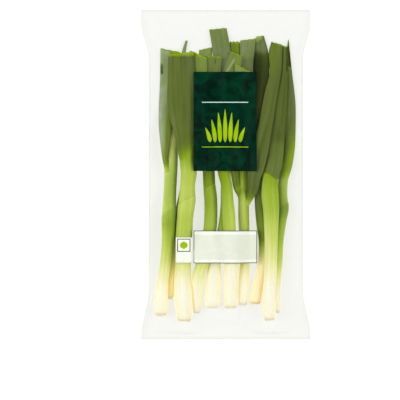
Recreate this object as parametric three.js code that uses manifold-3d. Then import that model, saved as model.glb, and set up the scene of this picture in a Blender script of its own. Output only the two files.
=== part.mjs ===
// A bunch of ten trimmed spring onions in a flat bag of clear film, lying on its back.
// Millimetres, +Z up. X runs across the bag, +Y towards the cut leaf ends, z = 0 is what it lies on.
// The origin is the middle of the bag's back. Each onion is laid on whatever already lies under it,
// from the bottom of the heap to the top, and the film is drawn over them last.
import * as THREE from 'three';
import Module from 'manifold-3d';

const wasm = await Module();
wasm.setup();

// ---- driving dimensions ----

const BAG = {
  length: 290, // from one sealed end to the other
  flatWidth: 149, // of the empty tube, and so of its sealed ends
  filledWidth: 135, // where the onions hold it open
  // How far from each end the flat tube starts to narrow, and is drawn right in.
  rootShoulder: [2, 46],
  leafShoulder: [12, 44],
  sideRise: 60, // the length over which the side folds rise
  wall: 0.5,
  slit: 0.3, // left open between the pressed walls of an end
  sideFold: 7, // the height of the side folds, half way along
  sideCurve: 12, // how far in from a side fold the back leaves the surface
  sideFullness: 6, // how squarely the front turns down to a side fold
  press: 8, // the length over which the front rises from a pressed end
  clearance: 1, // over the onions
};
const STALK_ROUNDNESS = 0.94; // height of a stalk over its width
const BRANCH_ROUNDNESS = 0.6; // the same where a side leaf leaves the stalk
const GAP = 0.4; // between neighbours
const PRESSED = 0.4; // the width that neighbours lose where they press on each other
const SHEATH = 0.5; // how far a leaf sheath stands proud of the stalk it wraps
const FLATTEN = 38; // the length over which a round sheath flattens into a leaf
const SPLIT = 14; // past the neck, the length over which an onion's own leaves still share one space
// (past its own start for a leaf marked as lying over its stalk)
// The steepest slopes that each takes over its neighbours, along and across it.
const STALK_SLOPE = { along: 0.16, across: 0 };
const LEAF_SLOPE = { along: 0.3, across: 0.6 };
const FILM_SLOPE = { along: 0.9, across: 0.7 };

// An onion's stalk and leaves are each given as stations [y, x of the middle, width], root end first.
// A leaf has its flattened thickness and the slant of its cut: how much further its right edge reaches.
const ONIONS = {
  onion_01: {
    color: 0x9db84a,
    stalk: [
      [-123.5, -57, 10.5], [-120, -57, 12.2], [-110, -57, 13], [-92.5, -55, 10], [-77.5, -53, 10],
      [-61.5, -51, 11], [-36, -50, 12.5], [-14, -49, 11.5], [8.5, -48.1, 12.1], [22, -47.6, 11.4],
      [35, -47.4, 9.5],
    ],
    inner: { thick: 2.6, slant: 0, wraps: true, rows: [
      [22, -47.4, 12.6], [41, -46.2, 12], [61.5, -44, 12], [83.5, -42.5, 12], [99.5, -41, 12],
    ] },
    outer: { thick: 2.6, slant: -3.5, over: true, rows: [
      [2.5, -51, 5.5], [13, -53, 5.5], [26.5, -53, 9], [41, -53, 12], [52.5, -52, 14.5],
      [74, -50, 17], [87, -49, 18], [109.5, -48.5, 18.5],
    ] },
  },
  onion_02: {
    color: 0xc9b85a,
    stalk: [
      [-109, -48.8, 4.8], [-105.5, -48.6, 6.3], [-92.5, -47.6, 6.5], [-77.5, -46.5, 6.5], [-57.5, -45, 7],
      [-35.5, -42, 7], [-13.5, -37, 7.5], [0, -35, 7.5], [15, -33, 7.5],
    ],
    inner: { thick: 2.4, slant: 2.5, wraps: true, rows: [
      [4.5, -34.5, 8.5], [26.5, -28.5, 11.5], [48.5, -25, 11.5], [70.5, -21.5, 11.5],
      [92.5, -18.7, 11.8], [111, -17.6, 12],
    ] },
  },
  onion_03: {
    color: 0x8fae3c,
    stalk: [
      [-128.5, -36.2, 12.2], [-124, -36.5, 14.3], [-119.5, -36.7, 15.2], [-105, -37.5, 16.5], [-91, -38, 15],
      [-78, -37.5, 14.5], [-49.5, -36.5, 15], [-36, -35.5, 14.5], [-22.5, -34, 15], [-9.5, -33.5, 13.5],
      [2, -32.5, 14.5], [13, -34, 13.5], [23.5, -35, 11.5],
    ],
    right: { thick: 2.6, slant: -7.5, rows: [
      [8.5, -33, 8.5], [22, -30.5, 11.5], [39.5, -27.5, 15.5], [61.5, -25.5, 17],
      [83.5, -24.5, 16.5], [106, -24, 16],
    ] },
    inner: { thick: 1.6, slant: 0, rows: [
      [22, -36.5, 4.5], [48.5, -38, 4.5], [74.5, -38, 4.5], [106.5, -37, 4], [118, -34.5, 2.5],
    ] },
    outer: { thick: 3.6, slant: 3, wraps: true, rows: [
      [8, -33, 15.5], [16.5, -34.5, 15], [26.5, -35, 17], [41, -36.5, 21], [61.5, -38.5, 25.5],
      [83.5, -38.9, 24.8], [106.8, -39.5, 22.6],
    ] },
  },
  onion_04: {
    color: 0x9db84a,
    stalk: [
      [-121.5, -25.3, 5.8], [-117, -25.3, 7.5], [-105, -25, 9], [-91, -24.2, 11.7], [-78, -20.7, 12.2],
      [-61.5, -17, 11.5], [-45, -13.7, 12.1], [-22.5, -13.3, 11.7], [-9.5, -14.5, 11], [2, -15, 11],
      [16.5, -16, 10.5],
    ],
    inner: { thick: 3, slant: -1, wraps: true, rows: [
      [2.5, -15, 12.5], [26.5, -17, 12.5], [48.5, -14.5, 15], [70.5, -11.5, 15.5], [90.5, -11.5, 14.5],
      [104, -9.5, 14],
    ] },
  },
  onion_05: {
    color: 0xa9c04f,
    stalk: [
      [-117, -11.7, 11.5], [-113.5, -12, 13.2], [-105, -11.5, 14], [-91, -10.5, 13.5], [-77.5, -9.5, 11.5],
      [-61.5, -5.5, 11.5], [-45, -1.5, 11], [-28.5, 0, 10], [-13.5, 0, 9.5], [0, 0, 9], [15, 0, 9],
    ],
    inner: { thick: 2.6, slant: 0, wraps: true, rows: [
      [2.5, 0, 10], [22, 2, 12.5], [44, 3.5, 14], [70.5, 5.5, 13.5], [92.5, 7.5, 11.5], [117, 8, 9.5],
    ] },
  },
  onion_06: {
    color: 0xb4c858,
    stalk: [
      [-117.2, 4.2, 10.8], [-113.5, 4.4, 12.5], [-105, 4.5, 13], [-91, 4.5, 13], [-78, 4.5, 13.5],
      [-61.5, 3.5, 12.5], [-48.5, 3, 11.5], [-36, 2.5, 11.5], [-22.5, 1.5, 10.5], [-9.5, 0.5, 10.5],
      [2, -2, 11], [17.5, -3, 11.5],
    ],
    inner: { thick: 3, slant: 1.5, wraps: true, rows: [
      [4.5, -2.5, 12], [26.5, -3, 12.5], [48.5, -4, 15.5], [70.5, -3.5, 16.5], [90.5, -3.5, 16],
      [110, -4, 16.5], [128.5, -7, 16],
    ] },
  },
  onion_07: {
    color: 0x9db84a,
    stalk: [
      [-114.5, 15, 6.5], [-112, 15.3, 8.2], [-105, 15.5, 9], [-91, 16, 9.5], [-78, 16.5, 9],
      [-48.5, 16, 9.9], [-36, 15.6, 10.1], [-22.5, 15.6, 9.9], [-11.5, 15.5, 9.5],
    ],
    left: { thick: 2.6, slant: -3.5, rows: [
      [-27.5, 13.5, 5], [-20, 13, 5.4], [-14, 10.7, 6.8], [-9, 9.4, 7.1], [2.5, 8.3, 8.6], [22, 8.8, 11],
      [48.5, 7.5, 14], [70.5, 6, 15.5], [91, 5.5, 15.5], [106.5, 9, 12],
    ] },
    inner: { thick: 2.4, slant: -7, rows: [
      [-27.5, 15.5, 5.5], [-13.5, 16, 7], [2.5, 16, 8.5], [22, 16, 10], [48.5, 16, 12.5],
      [70.5, 15, 13.5], [94, 14.5, 14.5],
    ] },
    right: { thick: 3, slant: -3, rows: [
      [-28.5, 17.5, 5], [-20.5, 20.5, 8], [-14, 23, 10.5], [-4.5, 24.5, 11.5], [3, 26, 14.5],
      [25.5, 30.5, 15], [43.5, 34.7, 12.8], [61.5, 38, 12.3], [74, 40.2, 11.8], [90.5, 43.6, 10.6],
      [108, 43.6, 12.2], [115.5, 44.9, 10.8],
    ] },
  },
  onion_08: {
    color: 0x6b6a34,
    stalk: [
      [-113.5, 25.8, 9], [-110, 25.9, 10.3], [-100.5, 27.6, 10.3], [-86, 31, 9.5], [-71.5, 33, 9.5],
      [-58, 33, 9], [-45, 31.5, 9.5], [-32, 30, 9], [-22, 29.5, 9], [-9, 29, 9], [2.5, 28.5, 9],
    ],
    inner: { thick: 3, slant: 1, wraps: true, rows: [
      [-8, 28.5, 10.5], [13, 27.5, 12.5], [43, 27.5, 13], [74, 29.8, 14.4], [96.5, 31.2, 15.4],
      [108, 31.3, 12.6], [122, 30, 7.5],
    ] },
    outer: { thick: 2.6, slant: 1.5, rows: [
      [-8, 28.5, 6], [13, 24, 10.5], [39.5, 20.5, 13], [66, 19.5, 13], [92.5, 18.2, 12], [119, 19.5, 14],
    ] },
  },
  onion_09: {
    color: 0xa9c04f,
    stalk: [
      [-127.5, 38.3, 9.2], [-123.5, 38, 11.3], [-117, 37.6, 12.2], [-105, 37.5, 11.5], [-91, 38.5, 11.5],
      [-76.5, 39, 11.5], [-57.5, 39.5, 12], [-40.5, 39.5, 13.5], [-32, 39.5, 14.5], [-18.5, 38.5, 15.5],
      [-5, 38.5, 14], [8.5, 39, 13],
    ],
    inner: { thick: 3.4, slant: -2, wraps: true, rows: [
      [-6.5, 38.5, 16], [8, 41.5, 16], [25.5, 43.5, 15.5], [43.5, 45.5, 15], [74, 48, 13],
      [96, 49.5, 10.5], [113.5, 50, 9],
    ] },
  },
  onion_10: {
    color: 0x7f9c3f,
    stalk: [
      [-121, 44.2, 6.5], [-118, 44, 8.5], [-110, 43.5, 8.5], [-95.5, 44, 9], [-76.5, 45.5, 9],
      [-57.5, 46.5, 9], [-40.5, 49, 9], [-29.5, 50.5, 9.5], [-18.5, 50, 8.5], [-9, 50, 9], [4.5, 51.5, 9.5],
    ],
    inner: { thick: 3, slant: 1, wraps: true, rows: [
      [-6.5, 50, 10], [8, 53.4, 10.5], [16.5, 55, 10.2], [25.5, 56, 10.4], [43.5, 56.3, 10.8],
      [61.5, 56.3, 10.6], [74, 56, 9], [88, 55.3, 7], [105.5, 55, 4], [118.5, 55, 1.5],
    ] },
  },
};

// What is laid down, from the bottom of the heap to the top.
const LAYING_ORDER = [
  ['onion_05', 'stalk'], ['onion_02', 'stalk'], ['onion_08', 'stalk'], ['onion_10', 'stalk'],
  ['onion_05', 'inner'], ['onion_02', 'inner'], ['onion_08', 'inner'], ['onion_08', 'outer'],
  ['onion_10', 'inner'], ['onion_06', 'stalk'], ['onion_06', 'inner'], ['onion_04', 'stalk'],
  ['onion_04', 'inner'], ['onion_01', 'stalk'], ['onion_01', 'inner'], ['onion_01', 'outer'],
  ['onion_03', 'stalk'], ['onion_03', 'right'], ['onion_03', 'inner'], ['onion_03', 'outer'],
  ['onion_07', 'stalk'], ['onion_07', 'left'], ['onion_07', 'inner'], ['onion_09', 'stalk'],
  ['onion_09', 'inner'], ['onion_07', 'right'],
];

// ---- the grid on which heights are worked out ----

const CELL = new THREE.Vector2(0.5, 2);
const REACH = new THREE.Vector2(74, 144); // the grid runs this far each way from the origin
const SMOOTHING = { piece: { along: 3, across: 1 }, film: { along: 2, across: 6 } }; // in cells each way
const COLUMNS = 2 * REACH.x / CELL.x + 1;
const ROWS = 2 * REACH.y / CELL.y + 1;
const columnX = (i) => i * CELL.x - REACH.x;
const rowY = (j) => j * CELL.y - REACH.y;
const { clamp, lerp, smoothstep } = THREE.MathUtils;

// A smooth curve through stations [y, a, b, ...]: a function of y that gives [a, b, ...].
function through(stations) {
  const slopes = stations.map((_, i) => {
    const before = stations[Math.max(i - 1, 0)];
    const after = stations[Math.min(i + 1, stations.length - 1)];
    return before.map((value, c) => (after[c] - value) / (after[0] - before[0]));
  });
  return (y) => {
    let i = 1;
    while (i < stations.length - 1 && stations[i][0] < y) i++;
    const [from, to] = [stations[i - 1], stations[i]];
    const span = to[0] - from[0];
    const t = clamp((y - from[0]) / span, 0, 1);
    const [startWeight, endWeight] = [(1 + 2 * t) * (1 - t) ** 2, t * t * (3 - 2 * t)];
    const [startPull, endPull] = [t * (1 - t) ** 2 * span, t * t * (t - 1) * span];
    return from.slice(1).map((value, c) => value * startWeight + to[c + 1] * endWeight
      + slopes[i - 1][c + 1] * startPull + slopes[i][c + 1] * endPull);
  };
}

// The lowest line that stays above `needs` and is never steeper than `steepest`.
function rampOver(needs, spacing, steepest) {
  const line = [...needs];
  for (let i = 1; i < line.length; i++) line[i] = Math.max(line[i], line[i - 1] - steepest * spacing);
  for (let i = line.length - 2; i >= 0; i--) line[i] = Math.max(line[i], line[i + 1] - steepest * spacing);
  return line;
}

// A smoothed line that still stays above `needs`: the highest value nearby, then the mean of those.
function smoothOver(needs, radius) {
  const nearby = (values, i) => values.slice(Math.max(i - radius, 0), i + radius + 1);
  const highest = needs.map((_, i) => Math.max(...nearby(needs, i)));
  return highest.map((_, i) => nearby(highest, i).reduce((sum, value) => sum + value)
    / nearby(highest, i).length);
}

// Lifts a field of rows so that it clears `needs`, ramped and smoothed along and across.
function drape(needs, across, along) {
  let field = needs.map((row, j) => rampOver(row, across.spacing[j], across.steepest[j]));
  field = field.map((row) => smoothOver(row, across.radius));
  const lines = field[0].map((_, i) => field.map((row) => row[i]));
  const drawn = lines.map((line) => smoothOver(rampOver(line, CELL.y, along.steepest), along.radius));
  return field.map((row, j) => row.map((_, i) => drawn[i][j]));
}

// ---- the film bag's outline ----

const fromEnd = (y) => BAG.length / 2 - Math.abs(y);
const drawnIn = (y) => smoothstep(fromEnd(y), ...(y < 0 ? BAG.rootShoulder : BAG.leafShoulder));
const bagWidth = (y) => lerp(BAG.flatWidth, BAG.filledWidth, drawnIn(y));
const END_HEIGHT = 2 * BAG.wall + BAG.slit;
const foldHeight = (y) => lerp(END_HEIGHT / 2, BAG.sideFold, smoothstep(fromEnd(y), 0, BAG.sideRise));

// The back of the bag: flat on the surface, and curving up to the side folds.
function backHeight(x, y) {
  const inward = clamp((Math.abs(x) - bagWidth(y) / 2 + BAG.sideCurve) / BAG.sideCurve, 0, 1);
  return foldHeight(y) * (1 - Math.sqrt(1 - inward ** 2));
}

// ---- laying a stalk or leaf on the heap ----

const SIDES = 12; // of every stalk and leaf
const SAMPLES = 17; // across a piece
const acrossPiece = (k) => 2 * k / (SAMPLES - 1) - 1;
const halfFacet = Math.PI / SIDES;
const bulge = (u) => Math.sqrt(1 - (u * Math.cos(halfFacet)) ** 2); // of a section, blunt at its edges
const laid = []; // the pieces laid so far, each with the height of its top over the grid

function layPiece(onion, part) {
  const stalk = ONIONS[onion].stalk;
  const { rows, thick, slant = 0, wraps, over } = part === 'stalk' ? { rows: stalk } : ONIONS[onion][part];
  const own = laid.find((piece) => piece.onion === onion && piece.part === 'stalk');
  const outline = through(rows.map(([y, x, width]) => [y, x, width - PRESSED]));
  const start = rows[0][0];
  const end = rows.at(-1)[0];
  const neck = stalk.at(-1)[0];

  // The height of its section: round in a stalk, and flattening with distance in a leaf.
  const height = (y) => {
    const width = outline(y)[1];
    if (part === 'stalk') return width * STALK_ROUNDNESS;
    const from = wraps ? own.outline(start)[1] * STALK_ROUNDNESS + 2 * SHEATH : width * BRANCH_ROUNDNESS;
    return Math.min(lerp(from, thick, smoothstep(y - start, 0, FLATTEN)), width * STALK_ROUNDNESS);
  };
  const slope = part === 'stalk' ? STALK_SLOPE : LEAF_SLOPE;
  const flatness = (y) => 1 - Math.min(height(y) / outline(y)[1] / STALK_ROUNDNESS, 1);
  const firstRow = Math.floor((start + REACH.y) / CELL.y);
  const lastRow = Math.ceil((end + Math.abs(slant) / 2 + REACH.y) / CELL.y);
  const under = (j, x) => {
    const column = (x + REACH.x) / CELL.x;
    const i = Math.floor(column);
    let top = backHeight(x, rowY(j)) + BAG.wall;
    for (const piece of laid) {
      const shared = piece.onion === onion && rowY(j) < (over ? start : neck) + SPLIT;
      if (!shared) top = Math.max(top, lerp(piece.tops[j][i], piece.tops[j][i + 1], column - i));
    }
    return top;
  };

  const needs = [];
  const across = { spacing: [], steepest: [], radius: SMOOTHING.piece.across };
  for (let j = firstRow; j <= lastRow; j++) {
    const y = rowY(j);
    const [x, width] = outline(y);
    const ground = [];
    for (let k = 0; k < SAMPLES; k++) {
      const u = acrossPiece(k);
      ground.push(under(j, x + u * width / 2) + GAP + height(y) / 2 * bulge(u));
    }
    const buried = own && y < start + SPLIT ? own.middle(0, y) : 0;
    needs.push(ground.map((need) => Math.max(need, buried)));
    across.spacing.push(width / (SAMPLES - 1));
    across.steepest.push(slope.across * flatness(y));
  }
  const field = drape(needs, across, { steepest: slope.along, radius: SMOOTHING.piece.along });

  // The height of the middle of its section at u, from -1 at its left edge to 1 at its right.
  const middle = (u, y) => {
    const j = clamp((y + REACH.y) / CELL.y - firstRow, 0, field.length - 1);
    const k = clamp((u + 1) / 2 * (SAMPLES - 1), 0, SAMPLES - 1);
    const [j0, k0] = [Math.min(Math.floor(j), field.length - 2), Math.min(Math.floor(k), SAMPLES - 2)];
    const rowAt = (row) => lerp(row[k0], row[k0 + 1], k - k0);
    return lerp(rowAt(field[j0]), rowAt(field[j0 + 1]), j - j0);
  };
  const tops = Array.from({ length: ROWS }, () => new Array(COLUMNS).fill(0));
  for (let j = firstRow; j <= lastRow; j++) {
    const [x, width] = outline(rowY(j));
    for (let i = 0; i < COLUMNS; i++) {
      const u = (columnX(i) - x) / (width / 2);
      if (Math.abs(u) <= 1) tops[j][i] = middle(u, rowY(j)) + height(rowY(j)) / 2 * bulge(u);
    }
  }
  laid.push({ onion, part, outline, height, middle, tops, start, end, slant });
}

for (const [onion, part] of LAYING_ORDER) layPiece(onion, part);

// ---- solids ----

const ROOT_STATIONS = [0, 3.5, 9]; // close together where the root end rounds off
const STALK_STEP = 15;
const LEAF_STEP = 11;
const CUT_SHEAR = 22; // the length of leaf over which a cut's slant builds up

// A closed body through rings of points, each end closed by a fan about its middle.
function loft(rings) {
  const sides = rings[0].length;
  const middleOf = (ring) => ring.reduce((sum, p) => sum.add(p), new THREE.Vector3()).divideScalar(sides);
  const points = [...rings.flat(), middleOf(rings[0]), middleOf(rings.at(-1))];
  const [startMiddle, endMiddle] = [points.length - 2, points.length - 1];
  const lastRing = (rings.length - 1) * sides;
  const faces = [];
  for (let side = 0; side < sides; side++) {
    const next = (side + 1) % sides;
    faces.push(startMiddle, side, next, endMiddle, lastRing + next, lastRing + side);
    for (let ring = 0; ring < lastRing; ring += sides) {
      faces.push(ring + side, ring + sides + side, ring + next);
      faces.push(ring + next, ring + sides + side, ring + sides + next);
    }
  }
  return bodyOf(points, faces);
}

function bodyOf(points, faces) {
  const geometry = new THREE.BufferGeometry().setFromPoints(points);
  geometry.setIndex(faces);
  return geometry;
}

// The solid of one laid piece.
function pieceGeometry(piece) {
  const step = piece.part === 'stalk' ? STALK_STEP : LEAF_STEP;
  const stations = piece.part === 'stalk' ? [...ROOT_STATIONS] : [0];
  const near = stations.at(-1);
  const rest = piece.end - piece.start - near;
  const count = Math.ceil(rest / step);
  for (let i = 1; i <= count; i++) stations.push(near + rest * i / count);
  return loft(stations.map((distance) => ringOf(piece, piece.start + distance)));
}

function ringOf(piece, y) {
  const sheared = piece.slant / 2 * smoothstep(y, piece.end - CUT_SHEAR, piece.end);
  const ring = [];
  for (let side = 0; side < SIDES; side++) {
    const angle = (2 * side + 1) * halfFacet;
    const u = Math.cos(angle) / Math.cos(halfFacet);
    const [x, width] = piece.outline(y);
    const z = piece.middle(u, y) + piece.height(y) / 2 * Math.sin(angle);
    ring.push(new THREE.Vector3(x + u * width / 2, y + u * sheared, z));
  }
  return ring;
}

function toSolid(geometry) {
  const vertProperties = new Float32Array(geometry.attributes.position.array);
  const triVerts = new Uint32Array(geometry.index.array);
  return new wasm.Manifold(new wasm.Mesh({ numProp: 3, vertProperties, triVerts }));
}

function toGeometry(solid) {
  const mesh = solid.getMesh();
  const geometry = new THREE.BufferGeometry();
  geometry.setAttribute('position', new THREE.BufferAttribute(mesh.vertProperties, 3));
  geometry.setIndex(new THREE.BufferAttribute(mesh.triVerts, 1));
  return geometry;
}

// ---- the film ----

const FRONT_FACETS = 30;
const CURVE_FACETS = 4; // from the flat of the back up to each side fold
const FILM_STATIONS = 26;
const LEAST_SHARE = 0.2; // of the front's height, still counted at the side folds

// How much of the front's height is left at x: whole over the middle, none at a side fold.
const sidePull = (x, y) => (Math.abs(x) / (bagWidth(y) / 2)) ** BAG.sideFullness;
const frontShare = (x, y) => Math.sqrt(Math.max(1 - sidePull(x, y), 0));

function filmCrown() {
  const needs = [];
  for (let j = 0; j < ROWS; j++) {
    const y = rowY(j);
    const row = [];
    for (let i = 0; i < COLUMNS; i++) {
      const x = columnX(i);
      const top = Math.max(...laid.map((piece) => piece.tops[j][i]));
      const share = Math.max(frontShare(x, y), LEAST_SHARE);
      const need = foldHeight(y) + (top + BAG.wall + BAG.clearance - foldHeight(y)) / share;
      row.push(Math.max(top ? need : 0, foldHeight(y), END_HEIGHT));
    }
    needs.push(row);
  }
  const across = {
    spacing: needs.map(() => CELL.x),
    steepest: needs.map(() => FILM_SLOPE.across),
    radius: SMOOTHING.film.across,
  };
  return drape(needs, across, { steepest: FILM_SLOPE.along, radius: SMOOTHING.film.along });
}

const crown = filmCrown();
function crownAt(x, y) {
  const i = clamp((x + REACH.x) / CELL.x, 0, COLUMNS - 1);
  const j = clamp((y + REACH.y) / CELL.y, 0, ROWS - 1);
  const [i0, j0] = [Math.min(Math.floor(i), COLUMNS - 2), Math.min(Math.floor(j), ROWS - 2)];
  const rowAt = (row) => lerp(row[i0], row[i0 + 1], i - i0);
  return lerp(rowAt(crown[j0]), rowAt(crown[j0 + 1]), j - j0);
}

function frontHeight(x, y) {
  const middleHeight = lerp(END_HEIGHT, crownAt(x, y), smoothstep(fromEnd(y), 0, BAG.press));
  return foldHeight(y) + (middleHeight - foldHeight(y)) * frontShare(x, y);
}

// One ring round the bag at y, drawn in by `inset` for the inside of the film: down in the middle and
// sideways at the folds.
function filmRing(y, inset) {
  const half = bagWidth(y) / 2;
  const ring = [];
  const add = (x, height, side) => {
    const inward = x - Math.sign(x) * inset * sidePull(x, y);
    ring.push(new THREE.Vector3(inward, y, height - side * inset * frontShare(x, y)));
  };
  for (let i = 0; i <= FRONT_FACETS; i++) {
    const x = half * Math.sin(Math.PI / 2 * (1 - 2 * i / FRONT_FACETS));
    add(x, frontHeight(x, y), 1);
  }
  for (const side of [-1, 1]) {
    for (let i = 1; i <= CURVE_FACETS; i++) {
      const turn = Math.PI / 2 * (side < 0 ? CURVE_FACETS - i : i - 1) / CURVE_FACETS;
      const x = side * (half - BAG.sideCurve * (1 - Math.sin(turn)));
      add(x, backHeight(x, y), -1);
    }
  }
  return ring;
}

function filmGeometry() {
  const stations = [];
  for (let i = 0; i <= FILM_STATIONS; i++) {
    stations.push(BAG.length / 2 * Math.sin(Math.PI / 2 * (2 * i / FILM_STATIONS - 1)));
  }
  const outer = stations.map((y) => filmRing(y, 0));
  const inner = stations.map((y) => filmRing(y, BAG.wall));
  // Out along the outside and back along the inside, so the last ring meets the first. Each face of the
  // inside is split along the same diagonal as the one outside it, so the film is as thick all over.
  const rings = [...outer, ...inner.reverse()];
  const sides = outer[0].length;
  const faces = [];
  for (let r = 0; r < rings.length; r++) {
    const [here, there] = [r * sides, (r + 1) % rings.length * sides];
    for (let side = 0; side < sides; side++) {
      const next = (side + 1) % sides;
      const [a, b, c, d] = [here + side, there + side, there + next, here + next];
      faces.push(...(r < outer.length ? [a, b, d, d, b, c] : [a, b, c, a, c, d]));
    }
  }
  return bodyOf(rings.flat(), faces);
}

// ---- the bunch ----

const bunch = new THREE.Group();

for (const [name, { color }] of Object.entries(ONIONS)) {
  const pieces = laid.filter((piece) => piece.onion === name);
  const solid = pieces.map((piece) => toSolid(pieceGeometry(piece))).reduce((sum, next) => sum.add(next));
  const skin = new THREE.MeshStandardMaterial({ color, roughness: 0.45, metalness: 0 });
  const onion = new THREE.Mesh(toGeometry(solid), skin);
  onion.name = name;
  bunch.add(onion);
}

const clearFilm = new THREE.MeshStandardMaterial({
  color: 0xf4f6f2, roughness: 0.12, metalness: 0, transparent: true, opacity: 0.25,
});
const film = new THREE.Mesh(filmGeometry(), clearFilm);
film.name = 'film_bag';
bunch.add(film);

export default bunch;
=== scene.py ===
import math
from typing import NamedTuple
import bpy
import numpy as np
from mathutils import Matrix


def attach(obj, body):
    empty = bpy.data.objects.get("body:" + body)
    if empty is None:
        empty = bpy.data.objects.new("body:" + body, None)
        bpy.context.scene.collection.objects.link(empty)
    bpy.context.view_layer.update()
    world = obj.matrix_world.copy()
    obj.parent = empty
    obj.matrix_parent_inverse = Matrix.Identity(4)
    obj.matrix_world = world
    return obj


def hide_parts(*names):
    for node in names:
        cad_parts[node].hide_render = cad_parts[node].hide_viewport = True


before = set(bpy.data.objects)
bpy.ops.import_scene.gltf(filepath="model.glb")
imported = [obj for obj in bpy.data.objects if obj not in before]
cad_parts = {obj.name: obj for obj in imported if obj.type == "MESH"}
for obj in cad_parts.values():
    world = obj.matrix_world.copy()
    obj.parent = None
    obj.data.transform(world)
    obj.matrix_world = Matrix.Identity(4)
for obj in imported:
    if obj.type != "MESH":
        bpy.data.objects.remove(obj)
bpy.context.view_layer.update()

# ---- The table, the light and the camera ----
# The bag lies flat on a wide white table that glows faintly from below, between two big soft lights in a
# bright room. The camera hangs far above it and looks straight down.

MM = 0.001
WHITE = (1, 1, 1, 1)
TABLE_SIZE = 6000
TABLE_GLOW = 0.72
ROOM_GLOW = 0.55
SOFTBOX_SIZE = 1500
SOFTBOX_REACH = 1300  # out to its own side, and as far up
CAMERA_HEIGHT = 1600
CAMERA_OVER = (-22.7, -22.3)
SENSOR_WIDTH = 36
SEEN_WIDTH = 349.7  # across the whole view, at the height of the leaves
LEAF_LEVEL = 12


def srgb(red, green, blue):
    """A colour given as it looks on a screen, 0 to 255, as the linear colour that shaders use."""
    parts = np.array([red, green, blue]) / 255
    linear = np.where(parts <= 0.04045, parts / 12.92, ((parts + 0.055) / 1.055) ** 2.4)
    return (*linear.tolist(), 1)


def add_node(tree, kind, inputs=None, **settings):
    """A shader node with its settings, and with a value or a link on each socket that is named."""
    node = tree.nodes.new("ShaderNode" + kind)
    for name, value in settings.items():
        setattr(node, name, value)
    for socket, value in (inputs or {}).items():
        if isinstance(value, bpy.types.NodeSocket):
            tree.links.new(value, node.inputs[socket])
        else:
            node.inputs[socket].default_value = value
    return node


def new_material(name):
    """An empty node material and its output node."""
    material = bpy.data.materials.new(name)
    material.use_nodes = True
    material.node_tree.nodes.clear()
    return material, add_node(material.node_tree, "OutputMaterial")


def finished(material, output, looks):
    """The material with its surface on it: one Principled shader with those looks."""
    surface = add_node(material.node_tree, "BsdfPrincipled", looks)
    material.node_tree.links.new(surface.outputs["BSDF"], output.inputs["Surface"])
    return material


def cloud_noise(tree, scale, detail, **more):
    """Cloudy noise through an object's own space."""
    place = add_node(tree, "TexCoord").outputs["Object"]
    noise = add_node(tree, "TexNoise", {"Vector": place, "Scale": scale, "Detail": detail, **more})
    return noise.outputs["Fac"]


def remapped(tree, value, given, wanted):
    """A value moved from one range to another, and held inside it."""
    return add_node(tree, "MapRange", {
        "Value": value, "From Min": given[0], "From Max": given[1], "To Min": wanted[0], "To Max": wanted[1],
    }).outputs["Result"]


def table_material():
    material, output = new_material("white_table")
    grain = cloud_noise(material.node_tree, 300, 3)
    return finished(material, output, {
        "Base Color": srgb(150, 150, 150),
        "Roughness": remapped(material.node_tree, grain, (0, 1), (0.6, 0.75)),
        "Emission Color": WHITE,
        "Emission Strength": TABLE_GLOW,
    })


half = TABLE_SIZE / 2 * MM
table_mesh = bpy.data.meshes.new("table")
corners = [(-half, -half, 0), (half, -half, 0), (half, half, 0), (-half, half, 0)]
table_mesh.from_pydata(corners, [], [(0, 1, 2, 3)])
table = bpy.data.objects.new("table", table_mesh)
table_mesh.materials.append(table_material())
bpy.context.scene.collection.objects.link(table)

for name, side, energy in (("left_softbox", -1, 17), ("right_softbox", 1, 15)):
    softbox = bpy.data.objects.new(name, bpy.data.lights.new(name, "AREA"))
    softbox.data.shape = "DISK"
    softbox.data.size = SOFTBOX_SIZE * MM
    softbox.data.energy = energy
    softbox.location = (SOFTBOX_REACH * MM * side, 0, SOFTBOX_REACH * MM)
    softbox.rotation_euler = (0, math.radians(45 * side), 0)
    softbox.visible_camera = False
    bpy.context.scene.collection.objects.link(softbox)

room = bpy.data.worlds.new("bright_room")
room.use_nodes = True
walls = room.node_tree.nodes["Background"]
walls.inputs["Color"].default_value = WHITE
walls.inputs["Strength"].default_value = ROOM_GLOW
bpy.context.scene.world = room

camera = bpy.data.objects.new("camera", bpy.data.cameras.new("camera"))
camera.location = (CAMERA_OVER[0] * MM, CAMERA_OVER[1] * MM, CAMERA_HEIGHT * MM)
camera.data.sensor_width = SENSOR_WIDTH
camera.data.lens = SENSOR_WIDTH * (CAMERA_HEIGHT - LEAF_LEVEL) / SEEN_WIDTH
bpy.context.scene.collection.objects.link(camera)
bpy.context.scene.camera = camera
bpy.context.scene.view_settings.view_transform = "Standard"

# ---- How the ten onions lie ----
# A spring onion is one plant: a round shank of rolled sheaths, and hollow leaves that grow flat out of it.
# The ten are laid in by hand, so each shank and leaf rests on whatever was already there.
# Millimetres from here on: X across the bag, Y towards the leaf ends, z = 0 on the table.

SHANK_ROUNDNESS = 0.94  # height of a shank over its width
BRANCH_ROUNDNESS = 0.6  # the same where a side leaf leaves the shank
GAP = 0.4  # between neighbours
PRESSED = 0.4  # the width that neighbours lose where they press on each other
SHEATH = 0.5  # how far a leaf sheath stands proud of the shank
FLATTEN = 38  # the length over which a round sheath flattens into a leaf
SPLIT = 14  # past the neck, the length over which an onion's own leaves still share one space
# (past its own start for a leaf marked as lying over its shank)
BLUNTNESS = math.cos(math.pi / 12)  # leaves the edge of a section a quarter of its middle's height
# The steepest slopes a piece takes along itself and across itself as it lies over another.
SHANK_SLOPES = (0.16, 0)
LEAF_SLOPES = (0.3, 0.6)
SETTLING = 3  # how many rows of the grid to each side its height is smoothed over

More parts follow.
